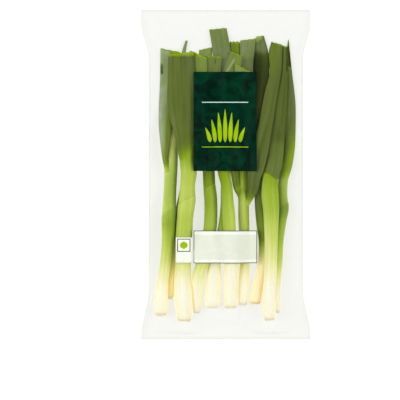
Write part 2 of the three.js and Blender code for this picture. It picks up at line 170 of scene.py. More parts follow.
# The shanks and leaves from the bottom of the heap to the top, each given by stations [y, x of its middle,
# width] from the root end on. A leaf also has its flattened thickness, and the slant of its cut: how much
# further its right edge reaches than its left. The base of one that wraps goes round the shank, and one
# that is over it lies on top of the shank.
PIECES = {
    ("onion_05", "shank"): {"rows": [
        [-117, -11.7, 11.5], [-113.5, -12, 13.2], [-105, -11.5, 14], [-91, -10.5, 13.5], [-77.5, -9.5, 11.5],
        [-61.5, -5.5, 11.5], [-45, -1.5, 11], [-28.5, 0, 10], [-13.5, 0, 9.5], [0, 0, 9], [15, 0, 9],
    ]},
    ("onion_02", "shank"): {"rows": [
        [-109, -48.8, 4.8], [-105.5, -48.6, 6.3], [-92.5, -47.6, 6.5], [-77.5, -46.5, 6.5], [-57.5, -45, 7],
        [-35.5, -42, 7], [-13.5, -37, 7.5], [0, -35, 7.5], [15, -33, 7.5],
    ]},
    ("onion_08", "shank"): {"rows": [
        [-113.5, 25.8, 9], [-110, 25.9, 10.3], [-100.5, 27.6, 10.3], [-86, 31, 9.5], [-71.5, 33, 9.5],
        [-58, 33, 9], [-45, 31.5, 9.5], [-32, 30, 9], [-22, 29.5, 9], [-9, 29, 9], [2.5, 28.5, 9],
    ]},
    ("onion_10", "shank"): {"rows": [
        [-121, 44.2, 6.5], [-118, 44, 8.5], [-110, 43.5, 8.5], [-95.5, 44, 9], [-76.5, 45.5, 9],
        [-57.5, 46.5, 9], [-40.5, 49, 9], [-29.5, 50.5, 9.5], [-18.5, 50, 8.5], [-9, 50, 9],
        [4.5, 51.5, 9.5],
    ]},
    ("onion_05", "inner"): {"thick": 2.6, "slant": 0, "wraps": True, "rows": [
        [2.5, 0, 10], [22, 2, 12.5], [44, 3.5, 14], [70.5, 5.5, 13.5], [92.5, 7.5, 11.5], [117, 8, 9.5],
    ]},
    ("onion_02", "inner"): {"thick": 2.4, "slant": 2.5, "wraps": True, "rows": [
        [4.5, -34.5, 8.5], [26.5, -28.5, 11.5], [48.5, -25, 11.5], [70.5, -21.5, 11.5], [92.5, -18.7, 11.8],
        [111, -17.6, 12],
    ]},
    ("onion_08", "inner"): {"thick": 3, "slant": 1, "wraps": True, "rows": [
        [-8, 28.5, 10.5], [13, 27.5, 12.5], [43, 27.5, 13], [74, 29.8, 14.4], [96.5, 31.2, 15.4],
        [108, 31.3, 12.6], [122, 30, 7.5],
    ]},
    ("onion_08", "outer"): {"thick": 2.6, "slant": 1.5, "rows": [
        [-8, 28.5, 6], [13, 24, 10.5], [39.5, 20.5, 13], [66, 19.5, 13], [92.5, 18.2, 12], [119, 19.5, 14],
    ]},
    ("onion_10", "inner"): {"thick": 3, "slant": 1, "wraps": True, "rows": [
        [-6.5, 50, 10], [8, 53.4, 10.5], [16.5, 55, 10.2], [25.5, 56, 10.4], [43.5, 56.3, 10.8],
        [61.5, 56.3, 10.6], [74, 56, 9], [88, 55.3, 7], [105.5, 55, 4], [118.5, 55, 1.5],
    ]},
    ("onion_06", "shank"): {"rows": [
        [-117.2, 4.2, 10.8], [-113.5, 4.4, 12.5], [-105, 4.5, 13], [-91, 4.5, 13], [-78, 4.5, 13.5],
        [-61.5, 3.5, 12.5], [-48.5, 3, 11.5], [-36, 2.5, 11.5], [-22.5, 1.5, 10.5], [-9.5, 0.5, 10.5],
        [2, -2, 11], [17.5, -3, 11.5],
    ]},
    ("onion_06", "inner"): {"thick": 3, "slant": 1.5, "wraps": True, "rows": [
        [4.5, -2.5, 12], [26.5, -3, 12.5], [48.5, -4, 15.5], [70.5, -3.5, 16.5], [90.5, -3.5, 16],
        [110, -4, 16.5], [128.5, -7, 16],
    ]},
    ("onion_04", "shank"): {"rows": [
        [-121.5, -25.3, 5.8], [-117, -25.3, 7.5], [-105, -25, 9], [-91, -24.2, 11.7], [-78, -20.7, 12.2],
        [-61.5, -17, 11.5], [-45, -13.7, 12.1], [-22.5, -13.3, 11.7], [-9.5, -14.5, 11], [2, -15, 11],
        [16.5, -16, 10.5],
    ]},
    ("onion_04", "inner"): {"thick": 3, "slant": -1, "wraps": True, "rows": [
        [2.5, -15, 12.5], [26.5, -17, 12.5], [48.5, -14.5, 15], [70.5, -11.5, 15.5], [90.5, -11.5, 14.5],
        [104, -9.5, 14],
    ]},
    ("onion_01", "shank"): {"rows": [
        [-123.5, -57, 10.5], [-120, -57, 12.2], [-110, -57, 13], [-92.5, -55, 10], [-77.5, -53, 10],
        [-61.5, -51, 11], [-36, -50, 12.5], [-14, -49, 11.5], [8.5, -48.1, 12.1], [22, -47.6, 11.4],
        [35, -47.4, 9.5],
    ]},
    ("onion_01", "inner"): {"thick": 2.6, "slant": 0, "wraps": True, "rows": [
        [22, -47.4, 12.6], [41, -46.2, 12], [61.5, -44, 12], [83.5, -42.5, 12], [99.5, -41, 12],
    ]},
    ("onion_01", "outer"): {"thick": 2.6, "slant": -3.5, "over": True, "rows": [
        [2.5, -51, 5.5], [13, -53, 5.5], [26.5, -53, 9], [41, -53, 12], [52.5, -52, 14.5], [74, -50, 17],
        [87, -49, 18], [109.5, -48.5, 18.5],
    ]},
    ("onion_03", "shank"): {"rows": [
        [-128.5, -36.2, 12.2], [-124, -36.5, 14.3], [-119.5, -36.7, 15.2], [-105, -37.5, 16.5],
        [-91, -38, 15], [-78, -37.5, 14.5], [-49.5, -36.5, 15], [-36, -35.5, 14.5], [-22.5, -34, 15],
        [-9.5, -33.5, 13.5], [2, -32.5, 14.5], [13, -34, 13.5], [23.5, -35, 11.5],
    ]},
    ("onion_03", "right"): {"thick": 2.6, "slant": -7.5, "rows": [
        [8.5, -33, 8.5], [22, -30.5, 11.5], [39.5, -27.5, 15.5], [61.5, -25.5, 17], [83.5, -24.5, 16.5],
        [106, -24, 16],
    ]},
    ("onion_03", "inner"): {"thick": 1.6, "slant": 0, "rows": [
        [22, -36.5, 4.5], [48.5, -38, 4.5], [74.5, -38, 4.5], [106.5, -37, 4], [118, -34.5, 2.5],
    ]},
    ("onion_03", "outer"): {"thick": 3.6, "slant": 3, "wraps": True, "rows": [
        [8, -33, 15.5], [16.5, -34.5, 15], [26.5, -35, 17], [41, -36.5, 21], [61.5, -38.5, 25.5],
        [83.5, -38.9, 24.8], [106.8, -39.5, 22.6],
    ]},
    ("onion_07", "shank"): {"rows": [
        [-114.5, 15, 6.5], [-112, 15.3, 8.2], [-105, 15.5, 9], [-91, 16, 9.5], [-78, 16.5, 9],
        [-48.5, 16, 9.9], [-36, 15.6, 10.1], [-22.5, 15.6, 9.9], [-11.5, 15.5, 9.5],
    ]},
    ("onion_07", "left"): {"thick": 2.6, "slant": -3.5, "rows": [
        [-27.5, 13.5, 5], [-20, 13, 5.4], [-14, 10.7, 6.8], [-9, 9.4, 7.1], [2.5, 8.3, 8.6], [22, 8.8, 11],
        [48.5, 7.5, 14], [70.5, 6, 15.5], [91, 5.5, 15.5], [106.5, 9, 12],
    ]},
    ("onion_07", "inner"): {"thick": 2.4, "slant": -7, "rows": [
        [-27.5, 15.5, 5.5], [-13.5, 16, 7], [2.5, 16, 8.5], [22, 16, 10], [48.5, 16, 12.5], [70.5, 15, 13.5],
        [94, 14.5, 14.5],
    ]},
    ("onion_09", "shank"): {"rows": [
        [-127.5, 38.3, 9.2], [-123.5, 38, 11.3], [-117, 37.6, 12.2], [-105, 37.5, 11.5], [-91, 38.5, 11.5],
        [-76.5, 39, 11.5], [-57.5, 39.5, 12], [-40.5, 39.5, 13.5], [-32, 39.5, 14.5], [-18.5, 38.5, 15.5],
        [-5, 38.5, 14], [8.5, 39, 13],
    ]},
    ("onion_09", "inner"): {"thick": 3.4, "slant": -2, "wraps": True, "rows": [
        [-6.5, 38.5, 16], [8, 41.5, 16], [25.5, 43.5, 15.5], [43.5, 45.5, 15], [74, 48, 13],
        [96, 49.5, 10.5], [113.5, 50, 9],
    ]},
    ("onion_07", "right"): {"thick": 3, "slant": -3, "rows": [
        [-28.5, 17.5, 5], [-20.5, 20.5, 8], [-14, 23, 10.5], [-4.5, 24.5, 11.5], [3, 26, 14.5],
        [25.5, 30.5, 15], [43.5, 34.7, 12.8], [61.5, 38, 12.3], [74, 40.2, 11.8], [90.5, 43.6, 10.6],
        [108, 43.6, 12.2], [115.5, 44.9, 10.8],
    ]},
}

# The bag's own outline, because its side folds hold up what lies against them.
BAG_LENGTH = 290
FLAT_WIDTH = 149  # of the empty tube, and so of its sealed ends
FILLED_WIDTH = 135
# How far from each end the flat tube starts to narrow, and is drawn right in.
ROOT_SHOULDER = (2, 46)
LEAF_SHOULDER = (12, 44)
SIDE_RISE = 60  # the length over which the side folds rise
SIDE_FOLD = 7  # the height of the side folds, half way along
SIDE_CURVE = 12  # how far in from a side fold the back leaves the table
WALL = 0.5
END_HEIGHT = 1.3

# The grid on which heights are worked out.
CELL_X, CELL_Y = 0.5, 2
REACH_X, REACH_Y = 74, 144
GRID_X = np.arange(-REACH_X, REACH_X + CELL_X / 2, CELL_X)
GRID_Y = np.arange(-REACH_Y, REACH_Y + CELL_Y / 2, CELL_Y)
ACROSS = np.linspace(-1, 1, 17)  # the places across a piece where its height is kept


def lerp(start, end, share):
    return start + (end - start) * share


def smoothstep(value, start, end):
    share = np.clip((value - start) / (end - start), 0, 1)
    return share * share * (3 - 2 * share)


def through(stations):
    """A smooth curve through stations [y, a, b, ...], as a function of y that gives (a, b, ...)."""
    knots = np.array(stations, float)
    ys, values = knots[:, 0], knots[:, 1:]
    before = np.maximum(np.arange(len(ys)) - 1, 0)
    after = np.minimum(np.arange(len(ys)) + 1, len(ys) - 1)
    slopes = (values[after] - values[before]) / (ys[after] - ys[before])[:, None]

    def at(y):
        i = np.clip(np.searchsorted(ys, y), 1, len(ys) - 1)
        span = (ys[i] - ys[i - 1])[..., None]
        t = np.clip((np.asarray(y)[..., None] - ys[i - 1][..., None]) / span, 0, 1)
        ends = values[i - 1] * (1 + 2 * t) * (1 - t) ** 2 + values[i] * t * t * (3 - 2 * t)
        pulls = slopes[i - 1] * t * (1 - t) ** 2 + slopes[i] * t * t * (t - 1)
        return np.moveaxis(ends + pulls * span, -1, 0)

    return at


def ramp_over(needs, rise):
    """Down each column, the lowest line that stays above `needs` and never climbs more than `rise` a step."""
    line = needs.copy()
    for i in range(1, len(line)):
        line[i] = np.maximum(line[i], line[i - 1] - rise)
    for i in range(len(line) - 2, -1, -1):
        line[i] = np.maximum(line[i], line[i + 1] - rise)
    return line


def smooth_over(needs, radius):
    """Down each column, the highest value nearby, and then the mean of those."""
    def nearby(field, blank):
        padded = np.pad(field, ((radius, radius), (0, 0)), constant_values=blank)
        return np.lib.stride_tricks.sliding_window_view(padded, 2 * radius + 1, axis=0)
    return np.nanmean(nearby(nearby(needs, -np.inf).max(axis=-1), np.nan), axis=-1)


def drape(needs, across_rise, across_radius, along_rise, along_radius):
    """Lifts a field of rows so that it clears `needs`, ramped and smoothed across and then along."""
    field = smooth_over(ramp_over(needs.T, across_rise), across_radius).T
    return smooth_over(ramp_over(field, along_rise), along_radius)


def between(field, row, column):
    """The value of a field between its rows and columns."""
    row = np.clip(row, 0, field.shape[0] - 1)
    column = np.clip(column, 0, field.shape[1] - 1)
    r = np.minimum(row.astype(int), field.shape[0] - 2)
    c = np.minimum(column.astype(int), field.shape[1] - 2)
    near = lerp(field[r, c], field[r, c + 1], column - c)
    return lerp(near, lerp(field[r + 1, c], field[r + 1, c + 1], column - c), row - r)


def from_end(y):
    """How far y is from the nearer end of the bag."""
    return BAG_LENGTH / 2 - np.abs(y)


def bag_width(y):
    shoulders = [smoothstep(from_end(y), *shoulder) for shoulder in (ROOT_SHOULDER, LEAF_SHOULDER)]
    return lerp(FLAT_WIDTH, FILLED_WIDTH, np.where(y < 0, *shoulders))


def fold_height(y):
    return lerp(END_HEIGHT / 2, SIDE_FOLD, smoothstep(from_end(y), 0, SIDE_RISE))


def back_height(x, y):
    """The back of the bag: flat on the table, and curving up to the side folds."""
    inward = np.clip((np.abs(x) - bag_width(y) / 2 + SIDE_CURVE) / SIDE_CURVE, 0, 1)
    return fold_height(y) * (1 - np.sqrt(1 - inward**2))


def bulge(u):
    return np.sqrt(1 - (u * BLUNTNESS) ** 2)


class LaidPiece:
    """One shank or leaf where it lies: its outline seen from above, its thickness and its height."""

    def __init__(self, onion, part):
        self.onion, self.part = onion, part
        form = PIECES[onion, part]
        rows = form["rows"]
        self.form = form
        self.start, self.end = rows[0][0], rows[-1][0]
        self.outline = through([[y, x, width - PRESSED] for y, x, width in rows])
        self.own = next((piece for piece in laid if (piece.onion, piece.part) == (onion, "shank")), None)
        self.first = math.floor((self.start + REACH_Y) / CELL_Y)
        last = math.ceil((self.end + abs(form.get("slant", 0)) / 2 + REACH_Y) / CELL_Y)
        self.lie_on_the_heap(np.arange(self.first, last + 1))

    def thickness(self, y):
        """Of the whole section at y: round in a shank, and flattening with distance in a leaf."""
        width = self.outline(y)[1]
        if self.part == "shank":
            return width * SHANK_ROUNDNESS
        at_start = width * BRANCH_ROUNDNESS
        if self.form.get("wraps"):
            at_start = self.own.outline(self.start)[1] * SHANK_ROUNDNESS + 2 * SHEATH
        flattened = lerp(at_start, self.form["thick"], smoothstep(y - self.start, 0, FLATTEN))
        return np.minimum(flattened, width * SHANK_ROUNDNESS)

    def lie_on_the_heap(self, rows):
        y = rows * CELL_Y - REACH_Y
        x, width = self.outline(y)
        thickness = self.thickness(y)
        places = x[:, None] + ACROSS * width[:, None] / 2
        ground = back_height(places, y[:, None]) + WALL
        together_from = self.start if self.form.get("over") else (self.own or self).end
        cells = np.repeat(rows[:, None] + 0.0, len(ACROSS), 1)
        for piece in laid:
            top = between(piece.tops, cells, (places + REACH_X) / CELL_X)
            shared = (piece.onion == self.onion) & (y < together_from + SPLIT)
            ground = np.where(shared[:, None], ground, np.maximum(ground, top))
        needs = ground + GAP + thickness[:, None] / 2 * bulge(ACROSS)
        if self.own:
            buried = np.where(y < self.start + SPLIT, self.own.middle(0 * y, y), 0)
            needs = np.maximum(needs, buried[:, None])
        along, across = SHANK_SLOPES if self.part == "shank" else LEAF_SLOPES
        flatness = 1 - np.minimum(thickness / width / SHANK_ROUNDNESS, 1)
        across_rise = across * flatness * width / (len(ACROSS) - 1)
        self.field = drape(needs, across_rise, 1, along * CELL_Y, SETTLING)
        self.tops = np.zeros((len(GRID_Y), len(GRID_X)))
        u = (GRID_X - x[:, None]) / (width[:, None] / 2)
        tops = self.middle(u, y[:, None] + 0 * u) + thickness[:, None] / 2 * bulge(np.clip(u, -1, 1))
        self.tops[rows] = np.where(np.abs(u) <= 1, tops, 0)

    def middle(self, u, y):
        """The height of the middle of the section at u, from -1 at its left edge to 1 at its right."""
        return between(self.field, (y + REACH_Y) / CELL_Y - self.first, (u + 1) / 2 * (len(ACROSS) - 1))


laid = []
for onion, part in PIECES:
    laid.append(LaidPiece(onion, part))
shanks = [piece for piece in laid if piece.part == "shank"]

# ---- Shanks ----
# The white and green stem of an onion: the rolled bases of its leaves, tight, moist and faintly ribbed. It is
# ivory where earth covered it, and green where light reached it. On some, an old outer sheath ends part of
# the way up in a thin loose edge.

SHANK_SIDES = 56
RING_STEP = 1.6
ROOT_PLATE = 1.3  # the thickness of the root plate that the shank stands on
NECK_TAPER = 9  # the length over which the hidden top of a shank closes
NECK_CLOSING = 0.85  # the share of its section that is gone at the very top
END_ROUNDING = 4  # the length over which the root end is rounded off, and the share of its width it loses
END_NARROWING = 0.16

# How green the shank is at y: 0 is ivory, 0.3 is lime and 0.5 is leaf green.
GREENING = {
    "onion_01": [
        [-108, 0], [-97, 0.05], [-84, 0.13], [-70, 0.22], [-57, 0.32], [-44, 0.35], [-31, 0.29],
        [-18, 0.33], [-4, 0.33], [10, 0.27], [24, 0.2], [40, 0.18],
    ],
    "onion_02": [[-109, 0], [-95, 0.06], [-86, 0.15], [-77, 0.25], [-60, 0.35], [-20, 0.5]],
    "onion_03": [
        [-104, 0], [-92, 0.05], [-82, 0.13], [-66, 0.24], [-50, 0.28], [-13, 0.26], [2, 0.3], [14, 0.4],
    ],
    "onion_04": [
        [-110, 0.01], [-97, 0.04], [-82, 0.16], [-60, 0.28], [-35, 0.34], [-20, 0.4], [-9, 0.45],
        [0, 0.5],
    ],
    "onion_05": [[-88, 0], [-77, 0.05], [-62, 0.15], [-52, 0.28], [-42, 0.42], [0, 0.46]],
    "onion_06": [
        [-88, 0], [-77, 0.06], [-62, 0.2], [-45, 0.28], [-33, 0.3], [-20, 0.35], [-9, 0.41], [0, 0.47],
    ],
    "onion_07": [
        [-98, 0], [-88, 0.05], [-80, 0.13], [-62, 0.22], [-45, 0.25], [-25, 0.26], [-20, 0.31],
        [-16, 0.36],
    ],
    "onion_08": [[-113, 0.02], [-86, 0.03], [-75, 0.07], [-66, 0.22], [-56, 0.47], [-38, 0.54], [-26, 0.64]],
    "onion_09": [
        [-100, 0], [-88, 0.06], [-75, 0.13], [-58, 0.19], [-44, 0.24], [-31, 0.33], [-16, 0.36],
        [0, 0.45],
    ],
    "onion_10": [
        [-106, 0], [-92, 0.1], [-77, 0.22], [-57, 0.36], [-40, 0.4], [-30, 0.44], [-18, 0.38],
        [-5, 0.37], [5, 0.52],
    ],
}
# How much greener, so darker, a shank's right side is than its middle, and its left side lighter: painted
# shade and painted light across it (a negative value swaps the sides), and between what heights that comes
# in.
PAINTED_SIDE_SHADE = {
    "onion_01": 0.08, "onion_06": -0.05, "onion_07": 0.09,
    "onion_08": -0.09, "onion_09": 0.04, "onion_10": -0.04,
}
PAINTED_SIDE_SHADE_START = (-80, -50)
# The share of dry straw-coloured skin: low on the shank, how far up that goes, and at the very end.
DRY_SKIN = {"onion_02": (0.3, -50, 0.3), "onion_08": (0.25, -60, 0.7)}
FRESH_SKIN = (0.02, -100, 0.12)
DRY_FADE = 25  # the length over which dry skin gives way to fresh
DRY_END = 5  # the length of the dry end
# The wax bloom on the greener part of a shank, where it has any, and between what heights it comes in.
SHANK_BLOOM = {"onion_01": 0.1, "onion_10": 0.1}
BLOOM_START = (-60, -30)

# The loose edge of an old sheath: y at its lowest and highest, the angle round the shank where it is highest
# (90 faces up, 0 faces right), the length of sheath shown, and how much greener it is than the shank there.
SHEATHS = {
    "onion_01": [(-37.5, -29.5, 35, 22, 0.07)],
    "onion_03": [(-27, -19, 15, 16, -0.03)],
    "onion_04": [(-14, -9, 30, 14, -0.04)],
    "onion_10": [(-33, -24, 10, 14, 0.07)],
}
SHEATH_SKIN = 0.25  # how far a sheath stands out from the shank under it
SHEATH_EDGE = 0.1  # the length over which it drops back to the shank
SHEATH_RIM = 0.9  # the width of its dry edge, how much less green that is, and the bloom on it
RIM_PALENESS = 0.05
RIM_BLOOM = 0.25
SWING = 13  # the length over which the rings of points swing round to a sheath's slanting edge
# How a sheath's edge waves: how often round the shank, how far, and whether it starts differently on each.
EDGE_WAVES = ((5, 0.25, 1), (11, 0.15, 0))

LIVING_COLOURS = [  # from the ivory root end to a leaf in full shade
    (0.00, srgb(254, 250, 232)), (0.05, srgb(250, 246, 212)), (0.13, srgb(233, 235, 166)),
    (0.21, srgb(206, 217, 112)), (0.28, srgb(187, 205, 86)), (0.36, srgb(164, 188, 58)),
    (0.44, srgb(142, 167, 22)), (0.52, srgb(122, 147, 8)), (0.62, srgb(106, 125, 28)),
    (0.75, srgb(91, 106, 32)), (0.88, srgb(62, 74, 22)), (1.00, srgb(24, 31, 8)),
]
STRAW = srgb(238, 204, 132)
WAX_BLOOM = srgb(168, 178, 152)
# Painted light on ivory tissue: a warm tint painted on a shank's steep sides, and a glow painted on those
# sides and on dry skin, and how strongly.
PAINTED_SIDE_WARMTH = srgb(255, 247, 214)
BLACK = (0, 0, 0, 1)
PAINTED_GLOW_COLOUR = (1, 0.78, 0.3, 1)
PAINTED_SIDE_GLOW = 0.13
PAINTED_DRY_GLOW = 0.32
IVORY_TO_GREEN = (0.04, 0.22)  # how green tissue is where it starts to lose that, and where it has lost it
MEAN_SHADE = 0.985  # of the skin, which fine fibres make lighter and darker
LEAF_DULLNESS = 0.13  # how much rougher a leaf is than a shank


class Tube:
    """A closed skin through rings of points, with what its shader needs at each point."""

    def __init__(self, rings, fibres, greenness, bloom=0.0, straw=0.0, leafy=0.0, finish=0):
        self.rings = rings  # (rings, sides, 3)
        self.fibres = fibres  # (rings, sides + 1, 2): millimetres round and along
        paint = {"greenness": greenness, "bloom": bloom, "straw": straw, "leafy": leafy}
        self.paint = {name: np.broadcast_to(value, rings.shape[:2]) for name, value in paint.items()}
        self.finish = np.broadcast_to(finish, len(rings) - 1)  # the material of each band between two rings


def build(name, tubes, materials):
    """One mesh object from tubes, each closed at both ends."""
    points, faces, finishes, corners = [], [], [], []
    count = 0
    for tube in tubes:
        rings, sides = tube.rings.shape[:2]
        points.append(tube.rings.reshape(-1, 3))
        r, s = np.meshgrid(np.arange(rings - 1), np.arange(sides), indexing="ij")
        here, there = count + r * sides, count + (r + 1) * sides
        following = (s + 1) % sides
        quads = np.stack([here + s, there + s, there + following, here + following], -1).reshape(-1, 4)
        faces += quads.tolist()
        faces.append((count + np.arange(sides)).tolist())
        faces.append((count + (rings - 1) * sides + np.arange(sides)[::-1]).tolist())
        finishes += np.repeat(tube.finish, sides).tolist() + [int(tube.finish[0]), int(tube.finish[-1])]
        uv = tube.fibres
        around = np.stack([uv[r, s], uv[r + 1, s], uv[r + 1, s + 1], uv[r, s + 1]], -2)
        corners += [around.reshape(-1, 2), uv[0, :-1], uv[-1, :-1][::-1]]
        count += rings * sides
    mesh = bpy.data.meshes.new(name)
    mesh.from_pydata((np.concatenate(points) * MM).tolist(), [], faces)
    mesh.polygons.foreach_set("material_index", finishes)
    mesh.polygons.foreach_set("use_smooth", [True] * len(faces))
    layer = mesh.uv_layers.new(name="fibres")
    layer.data.foreach_set("uv", np.concatenate(corners).ravel())
    for paint in tubes[0].paint:
        values = np.concatenate([tube.paint[paint].ravel() for tube in tubes])
        mesh.attributes.new(paint, "FLOAT", "POINT").data.foreach_set("value", values)
    for material in materials:
        mesh.materials.append(material)
    mesh.update()
    piece = bpy.data.objects.new(name, mesh)
    bpy.context.scene.collection.objects.link(piece)
    return piece


def new_group(name, inputs, outputs):
    """An empty shader node group with float inputs, and its input and output nodes."""
    group = bpy.data.node_groups.new(name, "ShaderNodeTree")
    for socket, value in inputs.items():
        entry = group.interface.new_socket(socket, in_out="INPUT", socket_type="NodeSocketFloat")
        entry.default_value = value
    for socket, kind in outputs.items():
        group.interface.new_socket(socket, in_out="OUTPUT", socket_type=kind)
    return group, group.nodes.new("NodeGroupInput").outputs, group.nodes.new("NodeGroupOutput").inputs


def math_node(tree, operation, *values):
    """The result of a Math node."""
    return add_node(tree, "Math", dict(enumerate(values)), operation=operation).outputs[0]


def painted(tree, name):
    """What a mesh says at each point under that name."""
    return add_node(tree, "Attribute", attribute_name=name).outputs["Fac"]


def mixed(tree, amount, under, over, blend="MIX"):
    """A colour laid over another."""
    mix = add_node(tree, "Mix", {0: amount, 6: under, 7: over}, data_type="RGBA", blend_type=blend)
    return mix.outputs[2]


def graded(tree, value, stops):
    """The colour that `value` has on a scale through `stops` of a place and a colour."""
    ramp = add_node(tree, "ValToRGB", {"Fac": value})
    elements = ramp.color_ramp.elements
    elements.remove(elements[1])
    for i, (position, colour) in enumerate(stops):
        element = elements[0] if i == 0 else elements.new(position)
        element.position = position
        element.color = colour
    return ramp.outputs["Color"]


def relief(tree, height, strength, depth):
    """The normal of a surface with fine relief, `depth` millimetres deep."""
    bump = add_node(tree, "Bump", {"Height": height, "Strength": strength, "Distance": depth * MM})
    return bump.outputs["Normal"]


def fibre_group():
    """The long fibres and veins that run up a shank or leaf: fine ones, and broad soft streaks."""
    group, given, result = new_group(
        "fibres", {"Spacing": 1.0, "Run": 30.0}, {"Fine": "NodeSocketFloat", "Broad": "NodeSocketFloat"})
    unrolled = add_node(group, "UVMap", uv_map="fibres").outputs["UV"]
    place = add_node(group, "SeparateXYZ", {"Vector": unrolled})
    for name, width, detail in (("Fine", 1, 3), ("Broad", 4, 1)):
        spacing = math_node(group, "MULTIPLY", given["Spacing"], width)
        run = math_node(group, "MULTIPLY", given["Run"], width / 2)
        spot = add_node(group, "CombineXYZ", {
            "X": math_node(group, "DIVIDE", place.outputs["X"], spacing),
            "Y": math_node(group, "DIVIDE", place.outputs["Y"], run),
        })
        noise = add_node(group, "TexNoise", {
            "Vector": spot.outputs["Vector"], "Scale": 1, "Detail": detail, "Roughness": 0.6,
        })
        group.links.new(noise.outputs["Fac"], result[name])
    return group


def living_colour_group():
    """The colour of onion tissue from how green it is, how dry, and how much wax bloom lies on it."""
    group, given, result = new_group(
        "living_colour", {"Streak": 0.5, "Streaking": 0.1, "Bloom Spots": 0.5}, {"Color": "NodeSocketColor"})
    streak = math_node(group, "SUBTRACT", given["Streak"], 0.5)
    shift = math_node(group, "MULTIPLY", streak, given["Streaking"])
    colour = graded(group, math_node(group, "ADD", painted(group, "greenness"), shift), LIVING_COLOURS)
    bloom = math_node(group, "MULTIPLY", painted(group, "bloom"), given["Bloom Spots"])
    for amount, coat in ((painted(group, "straw"), STRAW), (bloom, WAX_BLOOM)):
        colour = mixed(group, amount, colour, coat)
    group.links.new(colour, result["Color"])
    return group


fibres = fibre_group()
living_colour = living_colour_group()


def skin_material():
    """Living skin: moist, ribbed and a little translucent on a shank, duller and more veined on a leaf;
    painted light gives ivory sides and dry skin a warm tint and a glow.
    """
    material, output = new_material("onion_skin")
    tree = material.node_tree
    leafy = painted(tree, "leafy")

    def by_part(shank, leaf):
        """A value that goes over from a shank's to a leaf's."""
        return math_node(tree, "MULTIPLY_ADD", leafy, leaf - shank, shank)

    veins = add_node(tree, "Group", {"Spacing": 0.8, "Run": 45}, node_tree=fibres).outputs
    colour = add_node(tree, "Group", {
        "Streak": veins["Broad"],
        "Streaking": by_part(0.12, 0.28),
        "Bloom Spots": remapped(tree, cloud_noise(tree, 60, 3), (0.3, 0.65), (0.55, 1)),
    }, node_tree=living_colour).outputs["Color"]
    fine = remapped(tree, veins["Fine"], (0.3, 0.7), (-1, 1))
    shade = math_node(tree, "MULTIPLY_ADD", fine, by_part(0.06, 0.12), MEAN_SHADE)
    veined = mixed(tree, 1, colour, shade, "MULTIPLY")
    ivory = remapped(tree, painted(tree, "greenness"), IVORY_TO_GREEN, (1, 0))
    # Painted light: the steeper the ivory skin, the warmer its painted tint and the stronger its painted
    # glow; dry skin gets a painted glow too.
    slope = add_node(tree, "SeparateXYZ", {"Vector": add_node(tree, "TexCoord").outputs["Normal"]})
    level = math_node(tree, "ABSOLUTE", slope.outputs["Z"])
    clear = math_node(tree, "MULTIPLY", math_node(tree, "SUBTRACT", 1, level), ivory)
    painted_glow_on_dry_skin = math_node(tree, "MULTIPLY", painted(tree, "straw"), PAINTED_DRY_GLOW)
    painted_light = math_node(tree, "MULTIPLY_ADD", clear, PAINTED_SIDE_GLOW, painted_glow_on_dry_skin)
    moist = remapped(tree, veins["Fine"], (0, 1), (0.3, 0.46))
    return finished(material, output, {
        "Base Color": mixed(tree, clear, veined, PAINTED_SIDE_WARMTH, "MULTIPLY"),
        "Roughness": math_node(tree, "MULTIPLY_ADD", leafy, LEAF_DULLNESS, moist),
        "Normal": relief(tree, veins["Fine"], 0.45, 0.18),
        "Subsurface Weight": by_part(0.35, 0),
        "Subsurface Radius": (1.0, 0.9, 0.5),
        "Subsurface Scale": 4 * MM,
        "Specular IOR Level": 0.08,
        # the painted glow
        "Emission Color": mixed(tree, painted_light, BLACK, PAINTED_GLOW_COLOUR),
        "Emission Strength": 1,
    })


def levels(stops, step):
    """Stations through `stops`, no further apart than `step`."""
    spans = zip(stops[:-1], stops[1:])
    parts = [np.linspace(a, b, max(math.ceil((b - a) / step), 1), endpoint=False) for a, b in spans]
    return np.concatenate([*parts, [stops[-1]]])


def spread(*parts):
    """Coordinates brought to one shape and joined, as points."""
    return np.stack(np.broadcast_arrays(*parts), -1)


def round_angles(sides, shift=0):
    """The angles of the points round a ring, which may be shifted by a share of a step."""
    return (np.arange(sides) + shift) / sides * 2 * math.pi


def round_section(piece, y, angle, proud=0.0):
    """Points of a shank's round section at y, standing `proud` of its skin."""
    x, width = piece.outline(y)
    across = x + np.cos(angle) * (width / 2 + proud)
    up = piece.middle(0 * y, y) + np.sin(angle) * (piece.thickness(y) / 2 + proud)
    return spread(across, y, up)


def wrapped(sides, girth, y):
    """Fibre coordinates round a round section."""
    return spread(np.arange(sides + 1) / sides * girth, y)


def stem_greenness(onion, y, side):
    """How green a shank is at y, with painted shade and light across it; `side` goes from -1 at its left edge
    to 1 at its right.
    """
    # painted shade on one side of the shank and painted light on the other
    painted_light = PAINTED_SIDE_SHADE.get(onion, 0) * side * smoothstep(y, *PAINTED_SIDE_SHADE_START)
    return np.interp(y, *np.transpose(GREENING[onion])) + painted_light


def dryness(piece, y):
    most, up_to, at_end = DRY_SKIN.get(piece.onion, FRESH_SKIN)
    low = most * (1 - smoothstep(y, up_to - DRY_FADE, up_to))
    return np.maximum(low, at_end * (1 - smoothstep(y, piece.start + 1, piece.start + DRY_END)))


